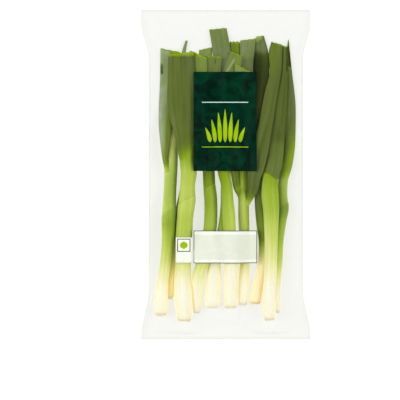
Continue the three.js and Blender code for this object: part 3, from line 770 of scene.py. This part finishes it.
def shank_tube(piece):
    """A shank, whose rings of points swing round to follow the slanting edge of each old sheath on it."""
    sheaths = SHEATHS.get(piece.onion, [])
    stops = [piece.start + ROOT_PLATE, piece.start + 5]
    for low, high, *_ in sheaths:
        edge = (low + high) / 2
        stops += [edge - 0.8, edge, edge + SHEATH_EDGE]
    level = levels([*stops, piece.end], RING_STEP)[:, None]
    angle = round_angles(SHANK_SIDES)
    y, proud, greener, rim = level + 0 * angle, 0.0, 0.0, 0.0
    for low, high, highest_at, length, more_green in sheaths:
        edge = (low + high) / 2
        swing = (high - low) / 2 * np.cos(angle - math.radians(highest_at))
        for count, height, own_start in EDGE_WAVES:
            swing = swing + height * np.sin(count * angle + low * own_start)
        y = y + swing * (1 - smoothstep(np.abs(level - edge), 1, SWING))
        sheathed = np.where(level <= edge, smoothstep(level, edge - length, edge - length / 3), 0)
        proud = proud + SHEATH_SKIN * sheathed
        greener = greener + more_green * sheathed
        rim = rim + np.where(level <= edge, smoothstep(level, edge - SHEATH_RIM, edge), 0)
    rounding = 1 - (1 - smoothstep(y, piece.start, piece.start + END_ROUNDING)) * END_NARROWING
    closing = np.sqrt(1 - smoothstep(y, piece.end - NECK_TAPER, piece.end) * NECK_CLOSING)
    rings = round_section(piece, y, angle, (rounding * closing - 1) * piece.outline(y)[1] / 2 + proud)
    # with the painted shade and light across the shank
    green = stem_greenness(piece.onion, y, np.cos(angle)) + greener - RIM_PALENESS * rim
    around = wrapped(SHANK_SIDES, piece.outline(level[:, 0])[1].mean() * math.pi, level)
    bloom = np.maximum(SHANK_BLOOM.get(piece.onion, 0) * smoothstep(y, *BLOOM_START), RIM_BLOOM * rim)
    return Tube(rings, around, green, bloom=bloom, straw=dryness(piece, y))


onion_skin = skin_material()
for piece in shanks:
    shank = build(piece.onion + "_shank", [shank_tube(piece)], [onion_skin])
    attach(shank, "root")
    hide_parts(piece.onion)

# ---- Root plates ----
# The disc of hard tan tissue that an onion's roots grow from. The roots are trimmed off with a knife,
# which leaves the flat disc and short stubs all over it.

PLATE_SIDES = 32
PLATE_SHARE = 0.95  # its width over that of the shank's end
# Its shape from the shank outwards: how far each ring stands out, and its share of the full width.
PLATE_RINGS = ((0.6, 1), (0, 1.02), (-0.5, 0.98), (-0.8, 0.86), (-0.95, 0.5))
PLATE_WAVES = ((3, 0.03, 1), (7, 0.02, 0))  # how its rim waves, as a sheath's edge does
STUB_COUNT = 22
STUB_WIDTH = 0.7
STUB_LENGTH = 1.1
STUB_SIDES = 7
# Its shape from the plate outwards: how far along each ring is, and its share of the full width.
STUB_RINGS = ((-0.4, 1.1), (0.5, 0.9), (0.85, 0.75), (1, 0.4))
PALE_PLATE = srgb(255, 249, 230)
# How far some plates have stayed as pale as the bulb.
PALENESS = {
    "onion_02": 0.6, "onion_04": 0.9, "onion_05": 0.8, "onion_06": 0.4, "onion_07": 0.8, "onion_10": 0.3,
}


def plate_material():
    material, output = new_material("root_plate")
    tree = material.node_tree
    grain = cloud_noise(tree, 900, 4, Roughness=0.7)
    colour = graded(tree, grain, [(0.3, srgb(244, 206, 148)), (0.7, srgb(255, 242, 216))])
    for paint, coat in (("straw", STRAW), ("bloom", PALE_PLATE)):
        colour = mixed(tree, painted(tree, paint), colour, coat)
    return finished(material, output, {
        "Base Color": colour,
        "Roughness": 0.75,
        "Normal": relief(tree, grain, 0.6, 0.3),
        "Subsurface Weight": 0.6,
        "Subsurface Radius": (1.0, 0.8, 0.5),
        "Subsurface Scale": 2 * MM,
    })


def plate_tube(piece):
    """A low disc that bulges a little towards the cut roots."""
    out, share = np.transpose(PLATE_RINGS)[:, :, None]
    y = piece.start + ROOT_PLATE + out
    angle = round_angles(PLATE_SIDES)
    width = piece.outline(np.array(piece.start + 1.0))[1]
    uneven = 1
    for count, depth, own_start in PLATE_WAVES:
        uneven = uneven + depth * np.sin(count * angle + piece.start * own_start)
    rings = round_section(piece, y, angle, width / 2 * (PLATE_SHARE * share * uneven - 1))
    dry = DRY_SKIN.get(piece.onion, FRESH_SKIN)[2] - FRESH_SKIN[2]
    pale = PALENESS.get(piece.onion, 0)
    return Tube(rings[::-1], wrapped(PLATE_SIDES, 10, y[::-1]), 0.0, bloom=pale, straw=dry)


def stub_tube(centre, direction, width, length, paleness):
    """One trimmed root: a short blunt peg."""
    angle = round_angles(STUB_SIDES)
    run, share = np.transpose(STUB_RINGS)[:, :, None]
    taper = share * width / 2
    rings = spread(
        centre[0] + direction[0] * run * length + np.cos(angle) * taper,
        centre[1] - run * length,
        centre[2] + direction[1] * run * length + np.sin(angle) * taper,
    )
    return Tube(rings[::-1], wrapped(STUB_SIDES, 2, run[::-1]), 0.0, bloom=paleness)


root_tan = plate_material()
chance = np.random.default_rng(8)
for piece in shanks:
    tubes = [plate_tube(piece)]
    start = np.array(piece.start + 1.0)
    x, width = piece.outline(start)
    z = piece.middle(0 * start, start)
    for _ in range(STUB_COUNT):
        turn = chance.uniform(0, 2 * math.pi)
        out = math.sqrt(chance.uniform(0.02, 1)) * 0.8
        direction = (math.cos(turn) * out, math.sin(turn) * out)
        reach = PLATE_SHARE * width / 2
        centre = (x + direction[0] * reach, piece.start + 0.5, z + direction[1] * reach * SHANK_ROUNDNESS)
        size = chance.uniform(0.7, 1.1)
        length = STUB_LENGTH * chance.uniform(0.4, 1)
        tubes.append(stub_tube(centre, direction, STUB_WIDTH * size, length, PALENESS.get(piece.onion, 0)))
    plate = build(piece.onion + "_root_plate", tubes, [root_tan])
    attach(plate, "root")
    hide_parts(piece.onion)

# ---- Leaves ----
# Each leaf is a hollow green tube that has flattened, so that it has a front and a back wall. It is cut off
# at the top, which leaves both walls' pale edges and the wet green between them. Grey wax bloom lies on some.

LEAF_SIDES = 72
LEAF_WALL = 0.45
HOLLOW_DEPTH = 18  # how far down the cut end stays open
CUT_RUN = 22  # the length of leaf over which a cut's slant builds up
CUT_EDGE = 0.7  # the length of the cut edge itself
CUT_RIM = 0.38  # how green it is
CUT_RIM_WIDTH = 0.75
TUCKED = 0.96  # the width of a leaf's base, over that of the shank it comes out of
EMERGING = 14  # the length over which a leaf comes out of it
CREASES_START = (15, 50)  # how far from its base a leaf starts to be creased, and is fully creased
LEAF_WAVES = (1.3, 2.2, 3.7)  # how many of each soft wave lie across it
CREASE_WIDTH = 0.09  # of the one sharper crease, over half the leaf's width
SQUARING = 0.4  # how much squarer than an ellipse a flat leaf's section is
LEAST_HALF_THICKNESS = 0.16


class LeafLook(NamedTuple):
    """What sets one leaf apart. Each pair is for its left and its right edge."""

    turns_at: tuple  # the height y where its stem green turns to leaf green
    turning: float  # and how long that takes
    green: tuple
    bloom: tuple  # of grey wax
    nib: tuple  # how much shorter its front wall is cut than its back one
    crease: float  # how deeply it is creased
    tip: float = 0  # how much greener it is towards its end
    inside: float = 0.42  # how green it is inside
    inner_bloom: float = 0
    ragged: float = 0.2  # how unevenly it is cut


LEAF_LOOKS = {
    ("onion_01", "inner"): LeafLook((38, 42), 9, (0.8, 0.7), (0, 0), (0.6, 0.6), 0.25),
    # onion_01's outer leaf is darker at its right edge: painted shade under the edge of the leaf over it.
    ("onion_01", "outer"): LeafLook((0, 2), 12, (0.5, 0.7), (1.35, -0.8), (0.5, 2.4), 0.3),
    ("onion_02", "inner"): LeafLook((-4, -4), 20, (0.6, 0.6), (0.25, 0.25), (0.7, 0.7), 0.2),
    ("onion_03", "right"): LeafLook((14, 14), 14, (0.56, 0.6), (0.15, 0.15), (4.8, 0.8), 0.25, inside=0.4),
    ("onion_03", "inner"): LeafLook((20, 20), 12, (0.62, 0.62), (0.4, 0.4), (0.5, 0.5), 0.1),
    ("onion_03", "outer"): LeafLook((6, 18), 20, (0.72, 0.76), (0.04, 0.08), (1.4, 4), 0.4, tip=0.04),
    ("onion_04", "inner"): LeafLook((-4, -4), 24, (0.7, 0.7), (0.15, 0.15), (0.9, 0.9), 0.3),
    ("onion_05", "inner"): LeafLook(
        (0, 0), 24, (0.62, 0.62), (0, 0), (1.4, 1.4), 0.2, inside=0.48, ragged=0.45),
    ("onion_06", "inner"): LeafLook((4, 4), 24, (0.74, 0.76), (0.25, 0.25), (0.6, 0.6), 0.3, tip=-0.08),
    ("onion_07", "left"): LeafLook((-21, -21), 8, (0.64, 0.58), (0.2, 0.1), (0.7, 0.7), 0.3),
    ("onion_07", "inner"): LeafLook((-14, -14), 22, (0.58, 0.58), (0.3, 0.3), (0.9, 0.9), 0.2),
    ("onion_07", "right"): LeafLook((-28, -26), 14, (0.75, 0.78), (0.06, 0.06), (1.1, 1.1), 0.35, tip=-0.06),
    # onion_08's inner leaf lies in its neighbours' shade: its near-black green is painted shade, lighter
    # towards its folded end.
    ("onion_08", "inner"): LeafLook(
        (-34, -34), 16, (1, 0.88), (0, 0), (8, 0.6), 0.3, tip=-0.16, inside=0.44, inner_bloom=1),
    ("onion_08", "outer"): LeafLook((-20, -20), 20, (0.68, 0.7), (0.4, 0.3), (0.8, 0.8), 0.2),
    ("onion_09", "inner"): LeafLook((0, -8), 8, (0.78, 0.79), (0.08, 0), (1.0, 1.0), 0.35),
    # onion_10's open leaf end is dark inside: painted shade in the hollow.
    ("onion_10", "inner"): LeafLook((0, 22), 34, (0.84, 0.75), (0.1, 0.12), (21, 26), 0.15, inside=0.82),
}
# Single marks, as strokes with two ends, half a width, how green and how much bloom.
MARKS = {
    ("onion_01", "outer"): [
        ((-60, 102), (-58, 86), 9, 0.56, 0.45),
        ((-56.6, 96), (-56.2, 89.5), 1.3, 0.85, 0),
    ],
    ("onion_04", "inner"): [((-9.2, 100.5), (-9.2, 97.9), 0.6, 0.8, 0)],
    ("onion_07", "left"): [
        # A pale line along a sharp fold: a painted highlight, given as wax bloom.
        ((7, 100.3), (0, 89), 0.7, 0.5, 0.8),
        ((12.3, -17), (10.8, -12.5), 3.2, 0.42, 0),
        ((8, 6), (8, -4), 6, 0.57, 0),
    ],
    ("onion_07", "right"): [((39, 115), (38, 92), 5, 0.66, 0)],
    # A darker stroke: painted shade where the edges of the neighbouring leaves shade it.
    ("onion_08", "outer"): [((13.5, 95), (24, 97), 7, 0.78, 0.15)],
    ("onion_08", "inner"): [((27, 118.5), (33, 115), 8, 0.78, 0.2)],
    ("onion_09", "inner"): [((40, 3), (45, 22), 7, 0.72, 0.1), ((54.8, 112), (54.2, 92), 1.5, 0.9, 0)],
}
MARK_FADE = (0.6, 1.4)  # where a mark starts to fade and ends, over its half width
TIP = 28  # the length of a leaf's end that can be greener
WAXING = 50  # the length over which the bloom builds up


def flesh_material():
    """The wet inside of a leaf: the same tissue without its skin, so clearer and shinier."""
    material, output = new_material("leaf_inside")
    tree = material.node_tree
    veins = add_node(tree, "Group", {"Spacing": 0.6, "Run": 20}, node_tree=fibres).outputs["Fine"]
    colour = add_node(tree, "Group", {"Streak": veins, "Streaking": 0.25}, node_tree=living_colour)
    vivid = add_node(tree, "HueSaturation", {"Saturation": 1.15, "Color": colour.outputs["Color"]})
    return finished(material, output, {
        "Base Color": vivid.outputs["Color"],
        "Roughness": 0.3,
        "Normal": relief(tree, veins, 0.4, 0.2),
        "Specular IOR Level": 0.1,
    })


def creasing(piece, u, y, depth):
    """The long soft waves and one sharper crease that a flattened leaf has, as a height."""
    seed = np.random.default_rng(round(abs(piece.start * 7 + piece.end * 13)))
    waves = 0
    for count in LEAF_WAVES:
        drift = seed.uniform(-1, 1) * y / 40 + 0.5 * np.sin(y / seed.uniform(25, 45) + seed.uniform(0, 6))
        waves = waves + np.sin(u * math.pi * count + seed.uniform(0, 6) + drift) / count
    fold = seed.uniform(-0.45, 0.45) + 0.12 * np.sin(y / 37 + seed.uniform(0, 6))
    crease = np.exp(-(((u - fold) / CREASE_WIDTH) ** 2))
    return depth * (0.45 * waves - 0.9 * crease) * (1 - u * u)


def leaf_section(piece, y, angle, depth, inset=0.0):
    """Points of a leaf's section: an ellipse that grows squarer as it flattens, drawn in by `inset`."""
    x, width = piece.outline(y)
    thickness = piece.thickness(y)
    flatness = 1 - thickness / width
    u, rise = np.cos(angle), np.sin(angle)
    squarer = np.sign(rise) * np.abs(rise) ** (1 - SQUARING * flatness)
    rising = smoothstep(y - piece.start, 0, EMERGING)
    fit = min(1, piece.own.outline(piece.start)[1] / piece.outline(piece.start)[1])
    emerging = lerp(TUCKED * fit, 1, rising)
    across = x + u * (width * emerging / 2 - inset)
    middle = piece.middle(u, y)
    if piece.form.get("wraps"):
        middle = lerp(piece.own.middle(0 * y, y), middle, rising)
    up = middle + squarer * np.maximum(thickness * emerging / 2 - inset, LEAST_HALF_THICKNESS)
    up = up + creasing(piece, u, y, depth) * smoothstep(y - piece.start, *CREASES_START)
    return spread(across, y, up)


def stroke(x, y, start, end, half_width):
    """How far inside a stroke each place is: 1 along its middle and 0 outside it."""
    (x0, y0), (x1, y1) = start, end
    length = (x1 - x0) ** 2 + (y1 - y0) ** 2
    along = np.clip(((x - x0) * (x1 - x0) + (y - y0) * (y1 - y0)) / length, 0, 1)
    away = np.hypot(x - lerp(x0, x1, along), y - lerp(y0, y1, along))
    full, gone = MARK_FADE
    return 1 - smoothstep(away, full * half_width, gone * half_width)


def leaf_tube(piece, look):
    """A leaf: its outer wall up to the cut, and from there its inner wall back down to where it closes."""
    run = max(CUT_RUN, 1.6 * max(look.nib))
    out = levels([piece.start, piece.end - run, piece.end - CUT_EDGE, piece.end], RING_STEP)
    back = piece.end - levels([0, CUT_EDGE, HOLLOW_DEPTH], RING_STEP)
    level = np.concatenate([out, back])[:, None]
    inside = np.arange(len(level))[:, None] >= len(out)
    angle = round_angles(LEAF_SIDES, 0.5)
    u, rise = np.cos(angle), np.sin(angle)
    to_right = 0.5 + 0.5 * u
    in_front = smoothstep(rise, -0.6, 0.6)
    ragged = look.ragged * (np.sin(9 * u + piece.end) + 0.6 * np.sin(23 * u + piece.start))
    cut = piece.form["slant"] / 2 * u - lerp(*look.nib, to_right) * in_front + ragged
    y = level + cut * smoothstep(level, piece.end - run, piece.end)
    rings = leaf_section(piece, y, angle, look.crease, np.where(inside, LEAF_WALL, 0))

    side = (np.arange(LEAF_SIDES + 1) + 0.5) / LEAF_SIDES
    turn = np.cos(side * 2 * math.pi)
    around = np.where(side <= 0.5, (1 - turn) / 4, 0.5 + (1 + turn) / 4)
    around[-1] += 1
    mean_width = piece.outline(np.linspace(piece.start, piece.end, 20))[1].mean()

    turns_at = lerp(*look.turns_at, to_right)
    turned = smoothstep(y, turns_at, turns_at + look.turning)
    leaf_green = lerp(*look.green, to_right) + look.tip * smoothstep(y, piece.end - TIP, piece.end)
    green = lerp(stem_greenness(piece.onion, y, u), leaf_green, turned)
    rim = smoothstep(level, piece.end - CUT_RIM_WIDTH, piece.end)
    green = lerp(np.where(inside, look.inside, green), CUT_RIM, rim)
    waxy = np.clip(lerp(*look.bloom, to_right), 0, 1) * smoothstep(y, turns_at, turns_at + WAXING)
    wax = np.where(inside, look.inner_bloom, waxy) * (1 - rim)
    # Marks paint their own green and bloom: most are real marks, one is a painted highlight and one a painted
    # shadow.
    for start, end, half_width, mark_green_and_shade, mark_bloom_and_highlight in MARKS.get((piece.onion, piece.part), []):
        marked = stroke(rings[..., 0], y, start, end, half_width) * np.where(inside | (rise < 0), 0, turned)
        green = lerp(green, mark_green_and_shade, marked)
        wax = lerp(wax, mark_bloom_and_highlight, marked)
    finish = np.where(np.arange(len(level) - 1) >= len(out), 1, 0)
    return Tube(rings, spread(around * 2 * mean_width, level), green, bloom=wax, leafy=turned, finish=finish)


leaf_inside = flesh_material()
for onion in GREENING:
    own = [piece for piece in laid if piece.onion == onion and piece.part != "shank"]
    tubes = [leaf_tube(piece, LEAF_LOOKS[onion, piece.part]) for piece in own]
    leaves = build(onion + "_leaves", tubes, [onion_skin, leaf_inside])
    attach(leaves, "root")
    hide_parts(onion)

# ---- Film bag ----
# A tube of thin clear film, pressed flat and heat-sealed across both ends. It is drawn tight over the onions,
# and its sides keep the folds of the flat tube. Soft streaks and greyer folded edges show that it is there.

FILM_COLUMNS = 150  # over the front, with half as many over the back
FILM_ROW_STEP = 1.6
FILM_CLEARANCE = 1  # over the onions
LEAST_SHARE = 0.2  # of the front's height, that is reckoned with beside a side fold
# The steepest climb from one step of the grid to the next, and how many steps to each side smooth it.
FILM_ACROSS = (0.7 * CELL_X, 6)
FILM_ALONG = (0.9 * CELL_Y, 2)
SIDE_FULLNESS = 6  # how squarely the front turns down to a side fold
PRESS = 8  # the length over which the front rises from a pressed end
SEAL = 1.6  # the width of the heat-sealed band
SEAL_EDGE = 0.2  # half the length over which the look of a seal ends
SEAL_LEVEL = 0.5
SEAL_GAP = 0.06  # between the front and the back of the film in a seal
SEAL_TO_FRONT = 7  # the lengths over which the front and the back come away from a seal
SEAL_TO_BACK = 10
WRINKLE = 0.09  # the height of a soft wrinkle
WRINKLE_LEVEL = 0.2  # how far the wrinkled front is lifted as a whole
FAN_WRINKLE = 0.15
FAN_FOLDS = 26
FAN_START = 12  # how far beyond an end the fan's wrinkles would meet
FOLD_LINE = 1.6  # the width of the sharp edge along each side, where the tube was folded flat
SIDE_HAZE = 0.32  # of the film beside that edge, over an edge's own
SIDE_HAZE_WIDTH = 9
TURNED_HAZE = 0.25  # of film seen from its edge, and of film that is folded or sealed
FOLDED_HAZE = 0.13
LEAST_GLINT = 0.003  # the share of light that shines off film seen from straight above
GLINT = 0.5  # and how much more than that shines off it at a glancing angle


def front_share(x, y):
    """How much of the front's height is left at x: whole over the middle, none at a side fold."""
    return np.sqrt(np.maximum(1 - (np.abs(x) / (bag_width(y) / 2)) ** SIDE_FULLNESS, 0))


def film_crown():
    """The height that the front would have at each place if it didn't turn down at the sides."""
    x, y = np.meshgrid(GRID_X, GRID_Y)
    top = np.max([piece.tops for piece in laid], axis=0)
    fold = fold_height(y)
    need = fold + (top + WALL + FILM_CLEARANCE - fold) / np.maximum(front_share(x, y), LEAST_SHARE)
    needs = np.maximum(np.where(top > 0, need, 0), np.maximum(fold, END_HEIGHT))
    return drape(needs, *FILM_ACROSS, *FILM_ALONG)


crown = film_crown()


def creases(x, y):
    """The film's own fine wrinkles: long soft ones down the bag, and a fan of them at each shoulder."""
    soft = np.sin(x / 4.1 + 1.3 * np.sin(y / 39)) + 0.7 * np.sin(x / 2.3 + 0.9 * np.sin(y / 27 + 2) + 1)
    crumple = np.sin(x / 3.7 + y / 9 + 2 * np.sin(y / 21)) * np.sin(y / 13 - x / 17 + 1)
    fan = np.sin(np.arctan2(x, from_end(y) + FAN_START) * FAN_FOLDS + 2 * np.sin(y / 30))
    shoulder = smoothstep(from_end(y), 5, 20) * (1 - smoothstep(from_end(y), 20, 60))
    level = smoothstep(from_end(y), 4, 30)
    return (WRINKLE * soft + WRINKLE * crumple + WRINKLE_LEVEL) * level + FAN_WRINKLE * fan * shoulder


def film_front(x, y):
    """The height of the front of the film."""
    row, column = (y + REACH_Y) / CELL_Y, (x + REACH_X) / CELL_X
    middle = lerp(END_HEIGHT, between(crown, row, column), smoothstep(from_end(y), 0, PRESS))
    fold = fold_height(y)
    full = fold + (middle - fold) * front_share(x, y) - WALL / 2 + creases(x, y) * front_share(x, y)
    return lerp(SEAL_LEVEL + SEAL_GAP, full, smoothstep(from_end(y), SEAL, SEAL + SEAL_TO_FRONT))


def film_back(x, y):
    full = back_height(x, y) + WALL / 2
    return lerp(SEAL_LEVEL, full, smoothstep(from_end(y), SEAL, SEAL + SEAL_TO_BACK))


def film_material():
    """Clear film: mostly see-through, shiny at a glancing angle, and hazier where it is creased or sealed."""
    material, output = new_material("clear_film")
    tree = material.node_tree
    strands = add_node(tree, "Group", {"Spacing": 3, "Run": 70}, node_tree=fibres).outputs["Fine"]
    streaks = remapped(tree, strands, (0.5, 0.8), (0, 0.006))
    turned = add_node(tree, "LayerWeight", {"Blend": 0.5}).outputs["Facing"]
    haze = math_node(tree, "MULTIPLY", math_node(tree, "MULTIPLY", turned, turned), TURNED_HAZE)
    haze = math_node(tree, "ADD", haze, streaks)
    haze = math_node(tree, "MULTIPLY_ADD", painted(tree, "bloom"), FOLDED_HAZE, haze)
    bumpy = relief(tree, strands, 0.3, 0.3)
    milky = add_node(tree, "BsdfPrincipled", {
        "Base Color": srgb(218, 222, 212),
        "Roughness": 0.16,
        "Normal": bumpy,
    })
    shine = add_node(tree, "BsdfGlossy", {"Color": WHITE, "Roughness": 0.12, "Normal": bumpy})
    clear = add_node(tree, "BsdfTransparent", {"Color": (0.951, 0.954, 0.939, 1)})
    glint = math_node(tree, "MULTIPLY_ADD", math_node(tree, "POWER", turned, 4), GLINT, LEAST_GLINT)
    glossy = add_node(tree, "MixShader", {0: glint, 1: clear.outputs["BSDF"], 2: shine.outputs["BSDF"]})
    surface = add_node(tree, "MixShader", {0: haze, 1: glossy.outputs["Shader"], 2: milky.outputs["BSDF"]})
    tree.links.new(surface.outputs["Shader"], output.inputs["Surface"])
    return material


def film_tube():
    """The film as one closed skin: its front from right to left, and then its back."""
    end = BAG_LENGTH / 2
    y = levels([-end, -end + SEAL, end - SEAL, end], FILM_ROW_STEP)[:, None]
    front = np.sin(np.linspace(1, -1, FILM_COLUMNS) * math.pi / 2)
    back = np.sin(np.linspace(-1, 1, FILM_COLUMNS // 2)[1:-1] * math.pi / 2)
    half_width = bag_width(y) / 2
    x_front, x_back = half_width * front, half_width * back
    front, back = spread(x_front, y, film_front(x_front, y)), spread(x_back, y, film_back(x_back, y))
    rings = np.concatenate([front, back], 1)
    around = np.concatenate([x_front, 2 * half_width + x_back, x_front[:, :1]], 1)
    side = np.abs(rings[..., 0])
    sealed = 1 - smoothstep(from_end(y), SEAL - SEAL_EDGE, SEAL + SEAL_EDGE)
    folded = smoothstep(side, half_width - FOLD_LINE, half_width - FOLD_LINE / 2)
    beside = SIDE_HAZE * smoothstep(side, half_width - SIDE_HAZE_WIDTH, half_width - FOLD_LINE)
    return Tube(rings, spread(around, y), 0.0, bloom=np.maximum(np.maximum(sealed, folded), beside))


film = build("film_bag_skin", [film_tube()], [film_material()])
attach(film, "root")
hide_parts("film_bag")

# ---- Printed panels ----
# Ink printed on the front of the film: a deep green panel over the leaves, and an off-white one over the
# shanks with a small white patch beside it. They carry no words, only plain rules and simple shapes.

PRINT_STEP = 1.5
INK = 0.04
PANEL_LIFT = 0.1  # how far the top of a panel's ink stands over the film
STRIP_LIFT = 0.12
DETAIL_LIFT = 0.15  # the same for the rules and shapes on a panel
GREEN_PANEL = (-28.3, 26.7, 2.9, 89.9)  # its left, right, lower and upper edges
WHITE_PANEL = (-28.3, 27.2, -77.5, -48.9)
SMALL_PATCH = (-43.8, -29.5, -77.0, -54.8)
BORDER = 0.7
TOP_STRIP = 4.4  # of plainer white, inside the white panel's edges
BOTTOM_STRIP = 3.6
RULE_ENDS = (-21, 19.5)
RULES = ((62.8, 63.6, 1), (23.5, 24.3, 0))  # the lower and upper edge of each, and its ink
# How tall each blade of the green panel's fan is, and how far it leans.
BLADES = ((13, -4), (20, -3), (26, -1.5), (29, 0), (26, 1.5), (20, 3), (13, 4))
MIDDLE_BLADE = -0.8
BLADE_FOOT = 28
BLADE_SPACING = 4.4
BLADE_WIDTH = 3.6
BLADE_CURL = 1.7  # how late on its way up a blade leans over
BLADE_POINT = 0.12  # how wide its ends are, and how much wider the rest is, over that width
BLADE_SWELLING = 2.4
PATCH_FRAME = (-42.6, -31.0, -67.4, -56.0)
PATCH_BORDER = 0.8
DISC_CENTRE = (-36.8, -61.7)
DISC_RADIUS = 3.3


def ink_material(name, dark, light, roughness, crumple):
    material, output = new_material(name)
    tree = material.node_tree
    # The cloud that crumples the ink also grades its colour from `dark` to `light`: painted shade and sheen
    # of the crumpled film.
    cloud = cloud_noise(tree, 70, 4, Distortion=1.2)
    return finished(material, output, {
        "Base Color": graded(tree, cloud, [(0.35, dark), (0.65, light)]),
        "Roughness": roughness,
        "Normal": relief(tree, cloud, crumple, 1),
        "Specular IOR Level": 0.03,
    })


def print_tube(left, right, lower, upper, lift, ink=0):
    """A thin printed area on the film, between lines x = left(y) and right(y)."""
    y = levels([lower, upper], PRINT_STEP)[:, None]
    columns = max(math.ceil(np.max(right(y) - left(y)) / PRINT_STEP), 1) + 1
    x = lerp(left(y), right(y), np.linspace(0, 1, columns))
    top = spread(x, y, film_front(x, y) + lift)
    rings = np.concatenate([top, top[:, ::-1] - [0, 0, INK]], 1)
    around = np.concatenate([x, x[:, ::-1], x[:, :1]], 1)
    return Tube(rings[:, ::-1], spread(around, y), 0.0, finish=ink)


def rectangle(left, right, lower, upper, lift, ink=0):
    return print_tube(lambda y: left + 0 * y, lambda y: right + 0 * y, lower, upper, lift, ink)


def frame_of(left, right, lower, upper, width, lift, ink=0):
    """Four thin rules round a panel."""
    return [
        rectangle(left, right, upper - width, upper, lift, ink),
        rectangle(left, right, lower, lower + width, lift, ink),
        rectangle(left, left + width, lower + width, upper - width, lift, ink),
        rectangle(right - width, right, lower + width, upper - width, lift, ink),
    ]


def around_line(middle, half_width, lower, upper, ink):
    """A printed shape that reaches half_width(y) to each side of the line x = middle(y)."""
    return print_tube(lambda y: middle(y) - half_width(y), lambda y: middle(y) + half_width(y),
                      lower, upper, DETAIL_LIFT, ink)


def blade(foot, height, lean, ink):
    """A simple upright leaf shape, widest a third of the way up and leaning as it rises."""
    def share(y):
        return (y - BLADE_FOOT) / height

    def half_width(y):
        swelling = np.sqrt(np.maximum(share(y), 0)) * np.maximum(1 - share(y), 0)
        return BLADE_WIDTH / 2 * (BLADE_POINT + swelling * BLADE_SWELLING)

    return around_line(lambda y: foot + lean * share(y) ** BLADE_CURL, half_width,
                       BLADE_FOOT, BLADE_FOOT + height, ink)


def disc(centre, radius, ink):
    def half_width(y):
        return np.sqrt(np.maximum(radius**2 - (y - centre[1]) ** 2, 0.01))

    return around_line(lambda y: centre[0], half_width, centre[1] - radius, centre[1] + radius, ink)


green_ink = ink_material("green_ink", srgb(0, 26, 16), srgb(0, 52, 32), 0.42, 0.7)
lime_ink = ink_material("lime_ink", srgb(140, 176, 0), srgb(166, 200, 10), 0.45, 0.4)
mint_ink = ink_material("mint_ink", srgb(196, 224, 214), srgb(214, 236, 228), 0.45, 0.4)
green_print = build("green_print", [rectangle(*GREEN_PANEL, PANEL_LIFT)], [green_ink])
tubes = [rectangle(*RULE_ENDS, *edges, DETAIL_LIFT, ink) for *edges, ink in RULES]
for i, (height, lean) in enumerate(BLADES, -(len(BLADES) // 2)):
    tubes.append(blade(MIDDLE_BLADE + i * BLADE_SPACING, height, lean, 0))
green_ornament = build("green_ornament", tubes, [lime_ink, mint_ink])
for piece in (green_print, green_ornament):
    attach(piece, "root")

white_ink = ink_material("white_ink", srgb(222, 226, 210), srgb(227, 231, 216), 0.4, 0.25)
paper_white = ink_material("plain_white_ink", srgb(236, 240, 226), srgb(242, 245, 233), 0.4, 0.25)
grey_ink = ink_material("grey_ink", srgb(92, 92, 84), srgb(120, 120, 110), 0.5, 0.2)
left, right, lower, upper = WHITE_PANEL
tubes = [
    rectangle(*WHITE_PANEL, PANEL_LIFT),
    rectangle(left, right, upper - TOP_STRIP, upper, STRIP_LIFT, 1),
    rectangle(left, right, lower, lower + BOTTOM_STRIP, STRIP_LIFT, 1),
    *frame_of(*WHITE_PANEL, BORDER, DETAIL_LIFT, 2),
]
white_panel = build("white_print", tubes, [white_ink, paper_white, grey_ink])
tubes = [
    rectangle(*SMALL_PATCH, PANEL_LIFT),
    *frame_of(*PATCH_FRAME, PATCH_BORDER, DETAIL_LIFT, 1),
    disc(DISC_CENTRE, DISC_RADIUS, 2),
]
small_patch = build("small_white_print", tubes, [paper_white, grey_ink, lime_ink])
for piece in (white_panel, small_patch):
    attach(piece, "root")
